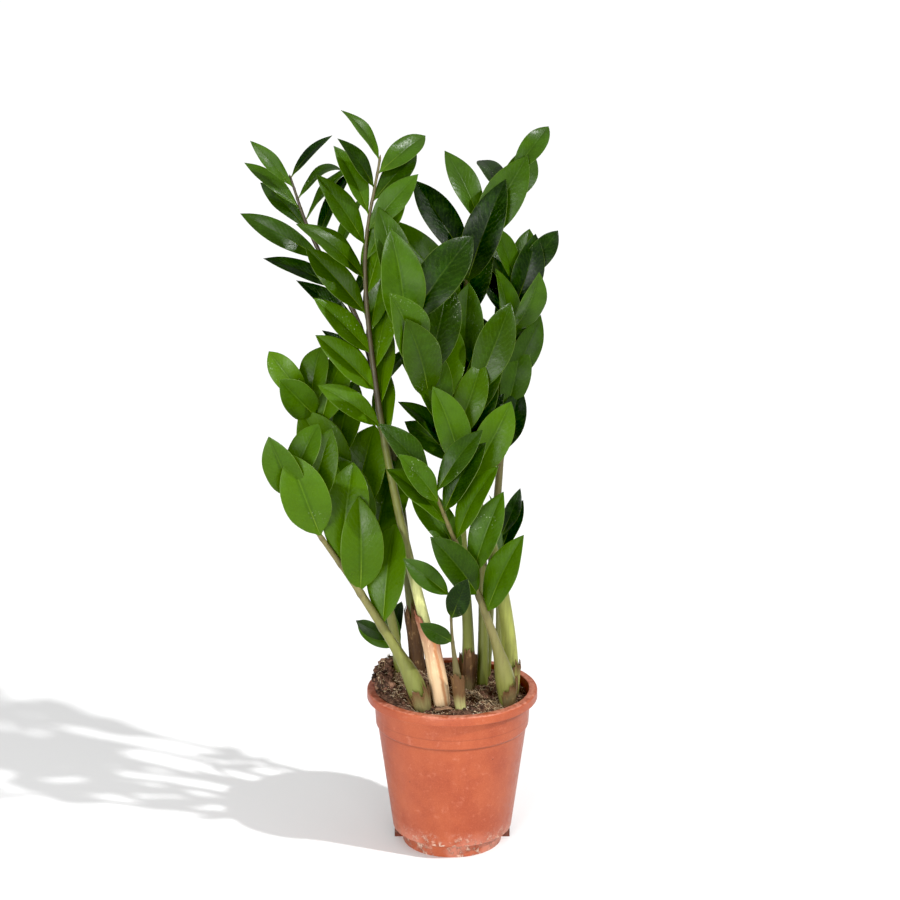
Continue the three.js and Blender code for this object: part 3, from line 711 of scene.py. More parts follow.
def add_stalk(shape, stem):
    """The stem itself, a little swollen at each leaflet's joint, and pointed at its tip."""
    length = stem_length(stem)
    fractions = np.linspace(0, 1, int(length / STALK_SPACING))
    centres = point_on(stem.path, fractions)
    _, look, right = frame_on(stem.path, fractions)
    radii = stem_radius(stem, fractions)
    for from_joint in from_joints(stem, fractions):
        radii = radii * (1 + JOINT_SWELL * hump(from_joint, JOINT_REACH))
    radii = radii * (1 - STALK_SLIMMING * np.clip((fractions - SLIMMING_START) / SLIMMING_LENGTH, 0, 1))
    radii = radii * np.clip((1 - fractions) * length / STALK_TIP.length + STALK_TIP.share, 0, 1)
    angles = angles_round(STALK_SIDES)
    ribs = 1 + STALK_RIBS.height * np.sin(STALK_RIBS.count * angles)
    spokes = right[:, None] * np.cos(angles)[:, None] - look[:, None] * np.sin(angles)[:, None]
    rings = centres[:, None] + spokes * (radii[:, None] * ribs)[..., None]
    tints = stalk_colours(stem, fractions, centres[:, 2], angles)
    maps = grid(angles / math.tau, fractions[:, None])
    shape.add(rings, tube_faces(len(fractions), STALK_SIDES), tints, maps, STALK)


def add_leafy_stems(materials):
    blades = grow_blades()
    for number, stem in enumerate(STEMS):
        shape = Shape()
        for blade in blades:
            if blade.stem_number == number:
                add_leaflet(shape, stem, blade)
        add_stalk(shape, stem)
        shape.build("leafy_" + stem.name, materials, stem.name)


# ---- Sheaths ----

def fraction_at(stem, height):
    """The fraction of a stem's path at a height above the mix."""
    fraction = 0
    while point_on(stem.path, fraction)[2] < SOIL_LEVEL + height:
        fraction += FRACTION_STEP
    return fraction


def add_sheath(number, stem, material):
    """A dry scale leaf round the stem's foot, with a slanted torn top and edges that curl away."""
    sheath = stem.sheath
    share = np.linspace(-1, 1, SHEATH_COLUMNS)[None]
    rise = np.linspace(0, 1, SHEATH_ROWS)[:, None]
    around = grid(share[0] * TEAR.round, number, 0)
    small = np.abs(roughness_at(around, TEAR.small_size, number + TEAR.small_seed, 2))
    torn = np.abs(roughness_at(around, TEAR.size, number, 3)) + TEAR.small_share * small
    start = fraction_at(stem, -SHEATH_DEPTH)
    end = fraction_at(stem, sheath.rise)
    top = mix(start, end, (1 - SHEATH_SLANT * np.abs(share)) * (1 - sheath.ragged * torn))
    fraction = mix(start, top, rise)
    _, look, right = frame_on(stem.path, fraction)
    angle = np.radians(sheath.turn + share * sheath.arc / 2)[..., None]
    folds = np.sin(share * WRINKLE.waves + WRINKLE.slant * rise)
    wrinkles = WRINKLE.height * folds * np.sin(share * WRINKLE.swells + number)
    flare = EDGE_FLARE.reach * np.abs(share) ** EDGE_FLARE.sharpness
    flare = flare + TOP_FLARE.reach * rise ** TOP_FLARE.sharpness
    spoke = look * np.cos(angle) + right * np.sin(angle)
    radius = stem_radius(stem, fraction) + SHEATH_GAP + (SHEATH_LOOSENESS + wrinkles + flare) * rise
    centre = point_on(stem.path, fraction)
    sheets = [centre + spoke * (radius + depth)[..., None] for depth in (SHEATH_THICKNESS, 0)]
    colours = np.array(sheath.colours).T
    tints = grid(*(np.interp(rise, SHEATH_SHARES, channel) for channel in colours))
    tints = np.broadcast_to(tints, (2, SHEATH_ROWS, SHEATH_COLUMNS, 4))
    maps = grid(share / 2 + 0.5, rise)
    shape = Shape()
    shape.add(sheets, plate_faces(SHEATH_ROWS, SHEATH_COLUMNS), tints, [maps, maps])
    node = "sheath_" + stem.name.split("_", 1)[1]
    shape.build("dry_" + node, [material], node)


# ---- Potting mix ----

def soil_height(x, y):
    from_heap = ((x - HEAP.x) / HEAP.reach_x) ** 2 + ((y - HEAP.y) / HEAP.reach_y) ** 2
    bumps = np.sin(x * BUMPS.x + BUMPS.shift) * np.cos(y * BUMPS.y)
    bumps = SOIL_BUMP * (bumps + np.sin(x * BUMPS.slant_x - y * BUMPS.slant_y))
    return SOIL_LEVEL - SOIL_SLOPE * x + HEAP.height * np.exp(-from_heap) + bumps


def soil_top(x, y):
    """The crumbled surface: the smooth heap with lumps of several sizes."""
    lumps = [height * roughness_at(grid(x, y, 0), size, seed) for height, size, seed in LUMPS]
    return soil_height(x, y) + sum(lumps)


def add_soil(material):
    angles = angles_round(SOIL_SEGMENTS)
    inside = WALL + SOIL_GAP
    walls = [
        (BASE_RADIUS, FLOOR_THICKNESS + SOIL_GAP),
        (BASE_RADIUS, BASE_HEIGHT + STEP_SLOPE),
        (FOOT_RADIUS, BASE_HEIGHT + 2 * STEP_SLOPE),
        (BELOW_STEP_RADIUS, STEP_HEIGHT - STEP_SLOPE),
        (COLLAR_RADIUS, STEP_HEIGHT + 2 * STEP_SLOPE),
    ]
    rings = [ring(radius - inside, height, angles) for radius, height in walls]
    for step in range(SOIL_RINGS, 0, -1):
        x, y, _ = ring((NECK_RADIUS - inside) * step / SOIL_RINGS, 0, angles).T
        rings.append(grid(x, y, soil_top(x, y)))
    shape = Shape()
    shape.add(rings, tube_faces(len(rings), SOIL_SEGMENTS), [0.5, 0.5, 0.5, 1])
    shape.build("potting_mix", [material], "soil")


def lump():
    """The corners and faces of a twenty-sided lump of radius 1."""
    golden = (1 + 5 ** 0.5) / 2
    corners = []
    for a, b in product((-1, 1), (-golden, golden)):
        corners += [(0, a, b), (a, b, 0), (b, 0, a)]
    corners = unit(np.array(corners, float))
    faces = []
    for i, j, k in combinations(range(len(corners)), 3):
        a, b, c = corners[[i, j, k]]
        if max(math.dist(a, b), math.dist(b, c), math.dist(c, a)) < LONGEST_LUMP_EDGE:
            faces.append([i, j, k] if dot(np.cross(b - a, c - a), a) > 0 else [i, k, j])
    return corners, faces


def scatter(random, count, spread):
    """Seeded places over the mix."""
    radius = spread * np.sqrt(random.random(count))
    angle = 2 * math.pi * random.random(count)
    return np.array([radius * np.cos(angle), radius * np.sin(angle)])


def sector(random, count, angles, radii):
    """Seeded places between two angles and two distances from the pot's axis."""
    angle = np.radians(random.uniform(*angles, count))
    radius = random.uniform(*radii, count)
    return np.array([radius * np.cos(angle), radius * np.sin(angle)])


def pick(random, colours, dimmest, brightest):
    """One of the colours, a little darker or lighter."""
    shade = random.uniform(dimmest, brightest)
    return np.array(colours[random.integers(len(colours))]) * (shade, shade, shade, 1)


def sizes_of(random, kind):
    """Sizes of which most lie near the smallest."""
    return kind.smallest + kind.spread * random.random(kind.count) ** kind.fineness


def add_crumbs(material):
    """Loose crumbs of peat, pale chips, and the big crumbs of the clump at the left."""
    random = np.random.default_rng(7)
    corners, faces = lump()
    shape = Shape()
    dark = [tone(72, 50, 40), tone(92, 66, 52), tone(54, 38, 31), tone(112, 84, 66)]
    pale = [tone(196, 176, 146), tone(222, 210, 190), tone(172, 146, 112)]

    def strew(places, heights, sizes, kind, colours):
        for x, y, height, size in zip(*places, heights, sizes):
            squash = np.array([1, random.uniform(*BIT.narrowness), kind.flatness])
            uneven = 1 + random.uniform(*BIT.unevenness, (len(corners), 1))
            spin = random.uniform(0, 2 * math.pi)
            cosine, sine = math.cos(spin), math.sin(spin)
            turn = np.array([[cosine, -sine, 0], [sine, cosine, 0], [0, 0, 1]])
            points = (corners * uneven * squash * size) @ turn.T + (x, y, height)
            shape.add(points, faces, pick(random, colours, *BIT.shades))

    places = scatter(random, CRUMB.count, MIX_REACH)
    sizes = sizes_of(random, CRUMB)
    strew(places, soil_top(*places) + CRUMB.lift * sizes, sizes, CRUMB, dark)

    places = sector(random, HEAPED.count, *CLUMP)
    sizes = sizes_of(random, HEAPED)
    near, far = CLUMP[1]
    inward = np.clip((far - np.hypot(*places)) / (far - near), 0, 1)
    rise = random.uniform(*HEAPED.rise, HEAPED.count) * mix(HEAPED.edge, 1, inward)
    strew(places, soil_height(*places) + rise, sizes, HEAPED, dark)

    places = scatter(random, CHIP.count, MIX_REACH)
    sizes = random.uniform(*CHIP.sizes, CHIP.count)
    strew(places, soil_top(*places) + CHIP.lift, sizes, CHIP, pale)

    places = sector(random, FRONT_CHIP.count, *FRONT_BAND)
    sizes = random.uniform(*FRONT_CHIP.sizes, FRONT_CHIP.count)
    strew(places, soil_top(*places) + FRONT_CHIP.lift, sizes, FRONT_CHIP, pale)
    shape.build("mix_crumbs", [material], "soil", smooth=False)


def add_fibres(material):
    """Thin tan coir fibres that lie on the mix, a few of them standing up at one end."""
    random = np.random.default_rng(11)
    shape = Shape()
    straws = [tone(182, 152, 116), tone(208, 182, 144), tone(142, 112, 84), tone(226, 206, 172)]
    count, steps = FIBRE.count, FIBRE.steps
    places = scatter(random, count, FIBRE.reach)
    on_heap = random.random(count) < CLUMP_SHARE
    places = np.where(on_heap, sector(random, count, *CLUMP), places)
    tangle = random.integers(0, len(TANGLES), count)
    is_tangled = ~on_heap & (random.random(count) < TANGLED_SHARE)
    strayed = np.array(TANGLES)[tangle].T + random.normal(0, TANGLE_REACH, (2, count))
    places = np.where(is_tangled, strayed, places)
    along = np.linspace(0, 1, steps)
    for place, is_high, is_bent in zip(places.T, on_heap, is_tangled):
        length = random.uniform(*FIBRE.length)
        heading = random.uniform(0, 2 * math.pi)
        angle = heading + random.uniform(*FIBRE.swing) * (FIBRE.tangled_swing if is_bent else 1) * along
        line = place[:, None] + np.cumsum([np.cos(angle), np.sin(angle)], axis=1) * length / steps
        line = line / np.maximum(np.hypot(*line) / FIBRE.limit, 1)
        lift = random.uniform(*FIBRE.lift) + (random.uniform(0, FIBRE.heap_lift) if is_high else 0)
        centre = grid(*line, soil_top(*line) + lift + random.uniform(0, FIBRE.end_lift) * along ** 2)
        radius = random.uniform(*FIBRE.radius)
        turns = angles_round(FIBRE.sides)
        spokes = grid(
            -np.sin(angle)[:, None] * np.cos(turns), np.cos(angle)[:, None] * np.cos(turns), -np.sin(turns),
        )
        rings = centre[:, None] + radius * spokes
        shape.add(rings, tube_faces(steps, FIBRE.sides), pick(random, straws, *FIBRE.shades))
    shape.build("mix_fibres", [material], "soil")


def add_scrap(material):
    """A dry papery scrap that lies on the mix in front of the stems."""
    along = np.linspace(-1, 1, SCRAP.columns)[None]
    across = np.linspace(-1, 1, SCRAP.rows)[:, None]
    x = SCRAP.x + SCRAP.reach * along + 0 * across
    y = SCRAP.y + SCRAP.slant * along + across * SCRAP.width * (1 - along ** 2) ** SCRAP.point
    waved = SCRAP_CURL.wave * np.sin(SCRAP_CURL.waves * along)
    rippled = SCRAP_CURL.ripple * np.sin(SCRAP_CURL.ripples * along * across)
    z = soil_height(x, y) + SCRAP.lift + (SCRAP_CURL.cup * across ** 2 + waved + rippled)
    sheets = [grid(x, y, z + offset) for offset in (SCRAP.thickness / 2, -SCRAP.thickness / 2)]
    maps = grid(across / 2 + 0.5, along / 2 + 0.5)
    shape = Shape()
    shape.add(sheets, plate_faces(SCRAP.rows, SCRAP.columns), tone(150, 116, 88), [maps, maps])
    shape.build("mix_scrap", [material], "soil")


# ---- Pot ----

def rounded(corners):
    """A profile of (radius, height, rounding) with each inner corner turned into a short arc."""
    points = [np.array(corner[:2], float) for corner in corners]
    made = [points[0]]
    for before, corner, after, (*_, rounding) in zip(points, points[1:], points[2:], corners[1:]):
        back = before - corner
        ahead = after - corner
        cut = min(rounding, LONGEST_CUT * np.hypot(*back), LONGEST_CUT * np.hypot(*ahead))
        start = corner + back / np.hypot(*back) * cut
        end = corner + ahead / np.hypot(*ahead) * cut
        for t in np.arange(CORNER_STEPS + 1) / CORNER_STEPS:
            made.append((1 - t) ** 2 * start + 2 * t * (1 - t) * corner + t * t * end)
    return made + [points[-1]]


def pot_profile():
    under_rim = RIM_HEIGHT - WALL
    skirt_inner = RIM_RADIUS - RIM_SKIRT
    band_bottom = RIM_HEIGHT - RIM_BAND
    half_foot = FOOT_SLOPE / 2
    half_step = STEP_SLOPE / 2
    corner, lip = CORNER_ROUND, LIP_ROUND
    return rounded([
        (0, 0, 0),
        (BASE_RADIUS, 0, corner),
        (BASE_RADIUS + BASE_DRAFT, BASE_HEIGHT - half_foot, corner),
        (FOOT_RADIUS, BASE_HEIGHT + half_foot, 2 * corner),
        (BELOW_STEP_RADIUS, STEP_HEIGHT - half_step, corner),
        (COLLAR_RADIUS, STEP_HEIGHT + half_step, 2 * corner),
        (NECK_RADIUS, under_rim, corner),
        (skirt_inner, under_rim, corner),
        (skirt_inner, band_bottom, corner),
        (RIM_RADIUS, band_bottom, corner),
        (RIM_RADIUS, RIM_HEIGHT, 2 * lip),
        (NECK_RADIUS - WALL, RIM_HEIGHT, lip),
        (COLLAR_RADIUS - WALL, STEP_HEIGHT + STEP_SLOPE, corner),
        (BELOW_STEP_RADIUS - WALL, STEP_HEIGHT - half_step, corner),
        (FOOT_RADIUS - WALL, BASE_HEIGHT + half_foot + WALL, corner),
        (BASE_RADIUS - WALL + BASE_DRAFT, BASE_HEIGHT + FOOT_SLOPE, corner),
        (BASE_RADIUS - WALL, FLOOR_THICKNESS, corner),
        (0, FLOOR_THICKNESS, 0),
    ])


def turned_mesh(profile):
    """A closed mesh from a profile that starts and ends on the axis."""
    rings = [ring(radius, height, angles_round(POT_SEGMENTS)) for radius, height in profile[1:-1]]
    return new_mesh("turned", np.concatenate(rings), tube_faces(len(rings), POT_SEGMENTS))


def cutter(name, rings):
    """A prism between two rings of points, to cut with or to join on."""
    return new_object(name, new_mesh(name, np.concatenate(rings), tube_faces(2, len(rings[0]))))


def drain_cutter(number):
    centre = ring(DRAIN_CIRCLE, 0, angles_round(DRAIN_HOLES)[number])
    heights = (-FLOOR_THICKNESS, 2 * FLOOR_THICKNESS)
    return cutter(
        f"drain_{number}", [centre + ring(DRAIN_RADIUS, z, angles_round(DRAIN_SIDES)) for z in heights],
    )


def lug_solid(side):
    """An upright fin that stiffens the base ring under the wall's foot."""
    half = LUG.width / 2
    low, high = sorted((side * (BASE_RADIUS - WALL / 2), side * LUG.outer))
    outline = [(low, -half), (high, -half), (high, half), (low, half)]
    return cutter(f"lug_{side + 1}", [[(x, y, z) for x, y in outline] for z in (0, LUG.height)])


def apply_booleans(piece, tools):
    """Joins or cuts the tools into the piece's own mesh, and takes the tools away again."""
    for tool, operation in tools:
        step = piece.modifiers.new(tool.name, "BOOLEAN")
        step.object = tool
        step.operation = operation
        step.solver = "EXACT"
    bpy.context.view_layer.update()
    graph = bpy.context.evaluated_depsgraph_get()
    done = bpy.data.meshes.new_from_object(piece.evaluated_get(graph))
    piece.modifiers.clear()
    piece.data = done
    for tool, _ in tools:
        bpy.data.objects.remove(tool)


def add_pot(material):
    pot = place_piece("nursery_pot", turned_mesh(pot_profile()), "pot")
    tools = [(lug_solid(side), "UNION") for side in (-1, 1)]
    tools += [(drain_cutter(number), "DIFFERENCE") for number in range(DRAIN_HOLES)]
    apply_booleans(pot, tools)
    pot.data.name = "nursery_pot"
    pot.data.materials.clear()
    pot.data.materials.append(material)
    pot.data.polygons.foreach_set("use_smooth", [True] * len(pot.data.polygons))
    pot.data.set_sharp_from_angle(angle=math.radians(SHARP_ANGLE))


# ---- Materials ----

# The numbers of the colour mix's own sockets among those of every kind of mix
MIX_AMOUNT, MIX_UNDER, MIX_OVER, MIX_RESULT = 0, 6, 7, 2
LEAF_JOINT = (104, 98, 54)
VEINS = SimpleNamespace(spacing=95.0, drift=9.0, rake=22.0)


class Value:
    """A number, place or colour that varies over a surface. What is reckoned with it becomes nodes."""

    def __init__(self, shader, socket):
        self.shader = shader
        self.socket = socket

    def math(self, operation, other=0.0):
        return self.shader.make("Math", {0: self, 1: other}, operation=operation)

    def __add__(self, other):
        return self.math("ADD", other)

    def __sub__(self, other):
        return self.math("SUBTRACT", other)

    def __mul__(self, other):
        return self.math("MULTIPLY", other)

    def __abs__(self):
        return self.math("ABSOLUTE")

    def ramp(self, low, high, start=0.0, end=1.0):
        """A smooth step of the value, from start at low to end at high."""
        inputs = {"Value": self, "From Min": low, "From Max": high, "To Min": start, "To Max": end}
        return self.shader.make("MapRange", inputs, interpolation_type="SMOOTHSTEP")

    def parts(self, kind):
        """The three numbers of a place (XYZ) or a colour (Color)."""
        first = self.shader.make("Separate" + kind, {0: self})
        return [Value(self.shader, socket) for socket in first.socket.node.outputs]


class Shader:
    """One material that is coated colour over colour. Without a base colour its piece's tints show."""

    def __init__(self, name, specular, base=None):
        self.material = bpy.data.materials.new(name)
        self.material.use_nodes = True
        self.tree = self.material.node_tree
        self.surface = self.tree.nodes["Principled BSDF"].inputs
        self.surface["Specular IOR Level"].default_value = specular
        self.body = tone(*base) if base else self.tint()

    def put(self, value, socket):
        """Links a varying value to the socket, or sets the socket's own value."""
        if isinstance(value, Value):
            self.tree.links.new(value.socket, socket)
        else:
            socket.default_value = value

    def make(self, kind, inputs, output=0, **settings):
        """What a new node gives, with its inputs and its output by name or number."""
        node = self.tree.nodes.new("ShaderNode" + kind)
        for name, setting in settings.items():
            setattr(node, name, setting)
        for name, value in inputs.items():
            self.put(value, node.inputs[name])
        return Value(self, node.outputs[output])

    def tint(self):
        return self.make("Attribute", {}, "Color", attribute_name="tint")

    def place(self, stretch=(1, 1, 1)):
        """The place on the piece in metres, stretched along each axis."""
        where = self.make("TexCoord", {}, "Object")
        return self.make("VectorMath", {0: where, 1: stretch}, operation="MULTIPLY")

    def map_place(self):
        """The place on the piece's own map: across it and along it, each from 0 to 1."""
        return self.make("UVMap", {}, uv_map="leaf_map").parts("XYZ")[:2]

    def join(self, x, y):
        return self.make("CombineXYZ", {0: x, 1: y})

    def noise(self, place, scale, detail=3.0, roughness=0.55, distortion=0.0):
        inputs = {"Vector": place, "Scale": scale, "Detail": detail, "Roughness": roughness}
        return self.make("TexNoise", {**inputs, "Distortion": distortion})

    def spots(self, place, scale):
        """The distance to the nearest of many scattered points."""
        return self.make("TexVoronoi", {"Vector": place, "Scale": scale}, "Distance")

    def coat(self, amount, colour):
        """Lays a colour over those below, as far as the amount from 0 to 1 says."""
        inputs = {MIX_AMOUNT: amount, MIX_UNDER: self.body, MIX_OVER: tone(*colour)}
        self.body = self.make("Mix", inputs, MIX_RESULT, data_type="RGBA")

    def finish(self, roughness, height=None, depth=0):
        """The finished material, with a relief of the height times the depth in millimetres."""
        self.put(self.body, self.surface["Base Color"])
        self.put(roughness, self.surface["Roughness"])
        if height is not None:
            relief = {"Strength": 1, "Distance": depth * MM, "Height": height}
            self.put(self.make("Bump", relief), self.surface["Normal"])
        return self.material


def leaf_lines(shader):
    """From 0 at the midrib to 1 at either margin, from 0 at the root to 1 at the tip, and the side veins."""
    map_across, along = shader.map_place()
    across = abs(map_across * 2.0 - 1.0)
    drift = shader.noise(shader.join(across, along), 7)
    veins = (along * VEINS.spacing + drift * VEINS.drift - across * VEINS.rake).math("SINE").ramp(0.55, 1)
    return across, along, veins


def leaf_upper():
    """Waxy upper face, deep to yellow green, with a pale midrib and margin, side veins, dry spots, painted
    sheen on waxy patches, painted light at the margin and painted shade in the midrib's crease.
    """
    shader = Shader("leaf_upper", 0.12, (0, 14, 0))
    place = shader.place()
    across, along, veins = leaf_lines(shader)
    random, fresh, age = shader.tint().parts("Color")
    mottle = shader.noise(place, 70, 4)
    wax_and_sheen = shader.noise(place, 60, 6, 0.7)
    grain = shader.noise(place, 900, 3)
    crease_shade = across.ramp(0.02, 0.06) - across.ramp(0.06, 0.2)
    midrib = across.ramp(0.008, 0.05, 1, 0) * along.ramp(0.04, 0.5, 0.6, 0.04)
    margin = across.ramp(0.965, 0.995, 0, 0.35)
    patch = shader.noise(place, 28).ramp(0.56, 0.68)
    splash = patch * shader.spots(place, 420).ramp(0.1, 0.28, 1, 0) * age.ramp(0.6, 0.8, 0, 0.5)
    shader.coat(random.ramp(0.15, 0.85), (50, 77, 11))
    shader.coat(mottle.ramp(0.35, 0.7, 0, 0.3), (5, 22, 1))
    shader.coat(fresh.ramp(0, 1, 0, 0.88), (74, 106, 2))
    shader.coat(along.ramp(0, 0.3, 0.25, 0), (80, 112, 12))
    # Lighter waxy patches, partly the leaf's own bloom and partly a painted sheen.
    shader.coat(wax_and_sheen.ramp(0.45, 0.7, 0, 0.2), (54, 90, 20))
    shader.coat(grain.ramp(0.5, 0.7, 0, 0.16), (58, 94, 14))
    shader.coat(veins * 0.06, (80, 112, 30))
    # Painted shade: a darker band along the midrib's crease.
    shader.coat(crease_shade * 0.25, (10, 32, 4))
    shader.coat(midrib, (122, 146, 44))
    # A pale margin, partly the leaf's own colour and partly a painted line of light along the edge.
    shader.coat(margin, (118, 138, 66))
    shader.coat(along.ramp(0, 0.06, 0.8, 0), LEAF_JOINT)
    shader.coat(splash, (172, 184, 150))
    roughness = shader.noise(place, 55, 4).ramp(0.3, 0.75, 0.26, 0.42)
    height = veins * 0.5 + shader.noise(place, 420, 2) + shader.noise(place, 85, 2) * 5.0
    return shader.finish(roughness, height, 0.1)


def leaf_lower():
    """Matt, paler and greyer under face with a raised pale midrib, and a pale margin that is partly painted
    light.
    """
    shader = Shader("leaf_lower", 0.1, (50, 76, 26))
    place = shader.place()
    across, along, veins = leaf_lines(shader)
    random, fresh, _ = shader.tint().parts("Color")
    shader.coat(random.ramp(0, 1), (68, 96, 38))
    shader.coat(shader.noise(place, 60, 4).ramp(0.35, 0.7, 0, 0.4), (46, 68, 30))
    shader.coat(fresh.ramp(0, 1, 0, 0.7), (92, 122, 36))
    shader.coat(veins * 0.14, (100, 118, 70))
    shader.coat(across.ramp(0.02, 0.08, 0.5, 0), (112, 134, 66))
    # A pale margin, partly the leaf's own colour and partly a painted line of light along the edge.
    shader.coat(across.ramp(0.95, 0.995, 0, 0.55), (122, 138, 78))
    shader.coat(along.ramp(0, 0.06, 0.8, 0), LEAF_JOINT)
    roughness = shader.noise(place, 55, 4).ramp(0.3, 0.75, 0.44, 0.6)
    return shader.finish(roughness, veins * 0.6 + shader.noise(place, 420, 2), 0.12)


def stalk_skin():
    """Stem skin in the stem's own colours, streaked lengthwise, with small darker dots."""
    shader = Shader("stalk_skin", 0.25)
    streak = shader.noise(shader.place((1, 1, 0.12)), 420, 3)
    blotch = shader.noise(shader.place((1, 1, 0.5)), 90, 4)
    dots = shader.spots(shader.place((1, 1, 0.45)), 520)
    shader.coat(streak.ramp(0.35, 0.7, 0, 0.28), (78, 78, 38))
    shader.coat(blotch.ramp(0.55, 0.75, 0, 0.35), (88, 76, 48))
    shader.coat(dots.ramp(0.06, 0.16, 0.4, 0), (66, 56, 34))
    return shader.finish(blotch.ramp(0.3, 0.7, 0.34, 0.55), streak, 0.14)


def sheath_paper(name, streak_colour, fleck_colour, banding, depth):
    """Dry papery scale leaf: lengthwise fibres and streaks over its own colours, and a stained edge."""
    shader = Shader(name, 0.3)
    across, along = shader.map_place()
    bands = shader.noise(shader.join(across, along * 0.16), 9, 3)
    fibres = shader.noise(shader.join(across, along * 0.07), 46, 5, 0.65)
    flecks = shader.noise(shader.place((1, 1, 0.5)), 260, 4, 0.7)
    from_stain = abs(across + shader.noise(shader.join(0.0, along), 5) * 0.12 - 0.85)
    shader.coat(bands.ramp(0.5, 0.66, 0, banding), streak_colour)
    shader.coat(fibres.ramp(0.5, 0.72, 0, banding), streak_colour)
    shader.coat(flecks.ramp(0.56, 0.7, 0, 0.45), fleck_colour)
    shader.coat(from_stain.ramp(0.012, 0.055, 0.7, 0), streak_colour)
    return shader.finish(flecks.ramp(0.3, 0.7, 0.6, 0.85), fibres + flecks * 0.5, depth)


def soil_body():
    """Damp dark peat, with paler dust on its lumps."""
    shader = Shader("peat", 0.2, (44, 30, 24))
    place = shader.place()
    lumps = shader.noise(place, 120, 5, 0.65)
    grains = shader.noise(place, 900, 3)
    shader.coat(lumps.ramp(0.3, 0.7), (104, 75, 60))
    shader.coat(grains.ramp(0.56, 0.7, 0, 0.8), (168, 136, 108))
    return shader.finish(0.95, grains + lumps * 2.0, 0.8)


def soil_bits():
    """Crumbs, chips and fibres in their own colours."""
    shader = Shader("mix_bits", 0.2)
    grain = shader.noise(shader.place(), 1100, 3)
    shader.coat(grain.ramp(0.4, 0.7, 0, 0.45), (56, 42, 34))
    return shader.finish(0.9, grain, 0.4)


def pot_plastic():
    """Satin terracotta-coloured plastic, with flow streaks, rubbed edges, specks and lime at the foot; a
    painted highlight along the lip, and painted shade under the step and under the foot.
    """
    shader = Shader("pot_plastic", 0.3, (152, 75, 45))
    place = shader.place()
    x, y, z = shader.place([1 / MM] * 3).parts("XYZ")
    cloud = shader.noise(place, 22, 6, 0.66)
    flow = shader.noise(shader.join(y.math("ARCTAN2", x), z * (3 * MM)), 9, 3)
    rub = shader.noise(place, 130, 6, 0.72)
    fine = shader.noise(place, 1500, 2)
    shader.coat(cloud.ramp(0.34, 0.66), (137, 61, 36))
    shader.coat(flow.ramp(0.5, 0.75, 0, 0.16), (164, 88, 58))
    shader.coat(rub.ramp(0.54, 0.7, 0, 0.28), (190, 122, 98))
    shader.coat(fine.ramp(0.5, 0.72, 0, 0.3), (182, 104, 74))
    shader.coat(fine.ramp(0.5, 0.3, 0, 0.25), (118, 52, 30))
    # Paler rubbed wear on the lip top, and with it a painted highlight along the lip's edge.
    shader.coat(z.ramp(*LIP_WEAR_AND_HIGHLIGHT, 0, 0.65) * rub.ramp(0.4, 0.6), (196, 132, 110))

    foot = z.ramp(*LIMED, 1, 0)
    crust = shader.noise(place, 150, 7, 0.8, 0.4).ramp(0.5, 0.58)
    lime = foot * shader.noise(place, 46, 3).ramp(0.4, 0.56) * crust
    bloom = foot * shader.noise(place, 34, 4).ramp(0.4, 0.6, 0, 0.6)
    speck = shader.spots(place, 38).ramp(0.018, 0.03, 0.8, 0)
    shader.coat(lime * 0.8, (214, 188, 168))
    shader.coat(bloom, (184, 122, 102))
    shader.coat(speck, (78, 40, 30))

    under_step = STEP_HEIGHT - STEP_SLOPE / 2
    # Painted shade: a dark band just under the step, where the collar overhangs the wall below.
    below = z.ramp(under_step + 1.2, under_step + 0.2)
    under_step_shade = below * z.ramp(under_step - 2.2, under_step, 0, 0.45)
    from_line = abs(z - (STEP_HEIGHT + MOULD_LINE))
    from_axis = (x * x + y * y).math("SQRT")
    outside = from_axis.ramp(BASE_RADIUS + 0.8, BASE_RADIUS + 2)
    # Painted shade: the lugs and the underside of the foot are darkened where shade falls under the wall's
    # foot.
    painted_foot_shade = outside * z.ramp(BASE_HEIGHT, BASE_HEIGHT + 1.4, 0.8, 0)
    shader.coat(under_step_shade, (96, 42, 26))
    shader.coat(from_line.ramp(0.1, 0.9, 0.35, 0), (104, 46, 28))
    shader.coat(painted_foot_shade, (66, 24, 16))
    return shader.finish(rub.ramp(0.35, 0.7, 0.34, 0.5) + lime * 0.35, lime * 3.0 + rub * 0.35, 0.16)


def floor_white():
    """Matt white paper of the floor, a little uneven."""
    shader = Shader("floor_white", 0, (230, 230, 230))
    shader.coat(shader.noise(shader.place(), 0.8, 2).ramp(0.3, 0.7), (232, 232, 232))
    return shader.finish(0.9)


# ---- Studio ----

CAMERA_PLACE = (-2.2, -1854, 870)
CAMERA_PITCH = 14.07
CAMERA_LENS = 78.9
SENSOR_WIDTH = 36
FLOOR_HALF = 100000
SUN = SimpleNamespace(heading=28, height=43, strength=2.9, angle=1.8, distance=3000)
SOFTBOX_AIM = (0, 0, 350)
SOFTBOXES = [
    dict(name="softbox_left", place=(-1000, -2400, 700), size=(900, 1300), power=72),
    dict(name="softbox_right", place=(700, -2500, 700), size=(900, 1300), power=18),
]
BLACK_LEVEL = 0.006
WORLD_HORIZON = 0.04
WORLD_ZENITH = 1.0


def add_floor():
    corners = FLOOR_HALF * np.array([(-1, -1, 0), (1, -1, 0), (1, 1, 0), (-1, 1, 0)])
    floor = new_object("floor", new_mesh("floor", corners, [(0, 1, 2, 3)]))
    floor.data.materials.append(floor_white())


def aim(light, place, target):
    """Puts a lamp at a place and turns it to a target."""
    lamp = new_object(light.name, light)
    lamp.location = Vector(place) * MM
    lamp.rotation_euler = (Vector(target) - Vector(place)).to_track_quat("-Z", "Y").to_euler()
    lamp.visible_camera = False


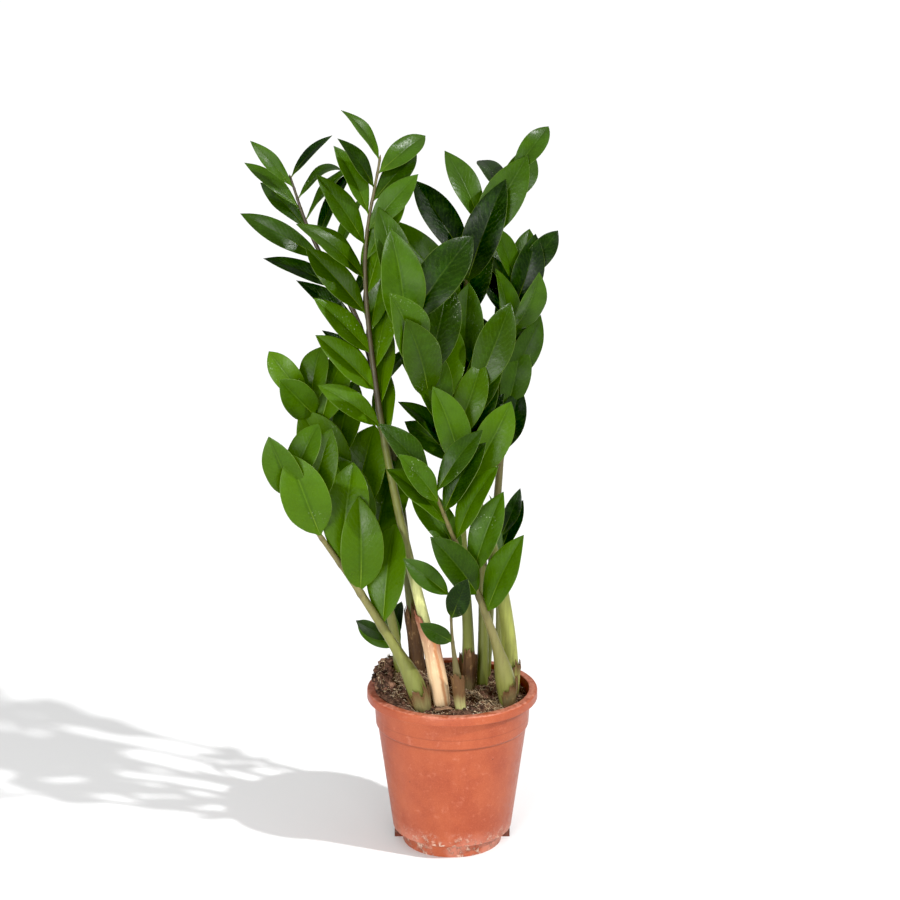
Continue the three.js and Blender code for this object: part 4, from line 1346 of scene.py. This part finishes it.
def add_lights():
    sun = bpy.data.lights.new("key_sun", "SUN")
    sun.energy = SUN.strength
    sun.angle = math.radians(SUN.angle)
    heading, height = math.radians(SUN.heading), math.radians(SUN.height)
    level = math.cos(height)
    towards = Vector((math.cos(heading) * level, -math.sin(heading) * level, math.sin(height)))
    aim(sun, towards * SUN.distance, (0, 0, 0))
    for box in SOFTBOXES:
        light = bpy.data.lights.new(box["name"], "AREA")
        light.shape = "RECTANGLE"
        light.size, light.size_y = (side * MM for side in box["size"])
        light.energy = box["power"]
        aim(light, box["place"], SOFTBOX_AIM)


def add_world():
    """White surroundings, brightest overhead and dim towards the horizon."""
    world = bpy.data.worlds.new("studio")
    world.use_nodes = True
    tree = world.node_tree
    background = tree.nodes["Background"]
    background.inputs["Color"].default_value = (1, 1, 1, 1)
    direction = tree.nodes.new("ShaderNodeTexCoord")
    parts = tree.nodes.new("ShaderNodeSeparateXYZ")
    level = tree.nodes.new("ShaderNodeMapRange")
    level.inputs["To Min"].default_value = WORLD_HORIZON
    level.inputs["To Max"].default_value = WORLD_ZENITH
    tree.links.new(direction.outputs["Generated"], parts.inputs[0])
    tree.links.new(parts.outputs[2], level.inputs["Value"])
    tree.links.new(level.outputs[0], background.inputs["Strength"])
    bpy.context.scene.world = world


def add_camera():
    data = bpy.data.cameras.new("camera")
    data.lens = CAMERA_LENS
    data.sensor_width = SENSOR_WIDTH
    camera = new_object("camera", data)
    camera.location = Vector(CAMERA_PLACE) * MM
    camera.rotation_euler = (math.radians(90 - CAMERA_PITCH), 0, 0)
    bpy.context.scene.camera = camera


def set_view():
    view = bpy.context.scene.view_settings
    view.view_transform = "Standard"
    view.use_curve_mapping = True
    view.curve_mapping.black_level = [BLACK_LEVEL] * 3
    view.curve_mapping.update()


def main():
    set_view()
    add_floor()
    add_lights()
    add_world()
    add_camera()
    add_pot(pot_plastic())
    add_soil(soil_body())
    bits = soil_bits()
    add_crumbs(bits)
    add_fibres(bits)
    pale = sheath_paper("sheath_pale", (156, 94, 48), (226, 200, 164), 0.22, 0.25)
    dark = sheath_paper("sheath_dark", (50, 32, 22), (150, 120, 84), 0.75, 0.5)
    film = sheath_paper("sheath_film", (84, 60, 36), (144, 116, 74), 0.35, 0.25)
    add_scrap(dark)
    for number, stem in enumerate(STEMS):
        if stem.sheath:
            short = dark if stem.sheath.rise > TALL_SHEATH else film
            add_sheath(number, stem, pale if stem.name == "stem_main" else short)
    add_leafy_stems([leaf_upper(), leaf_lower(), stalk_skin()])


main()
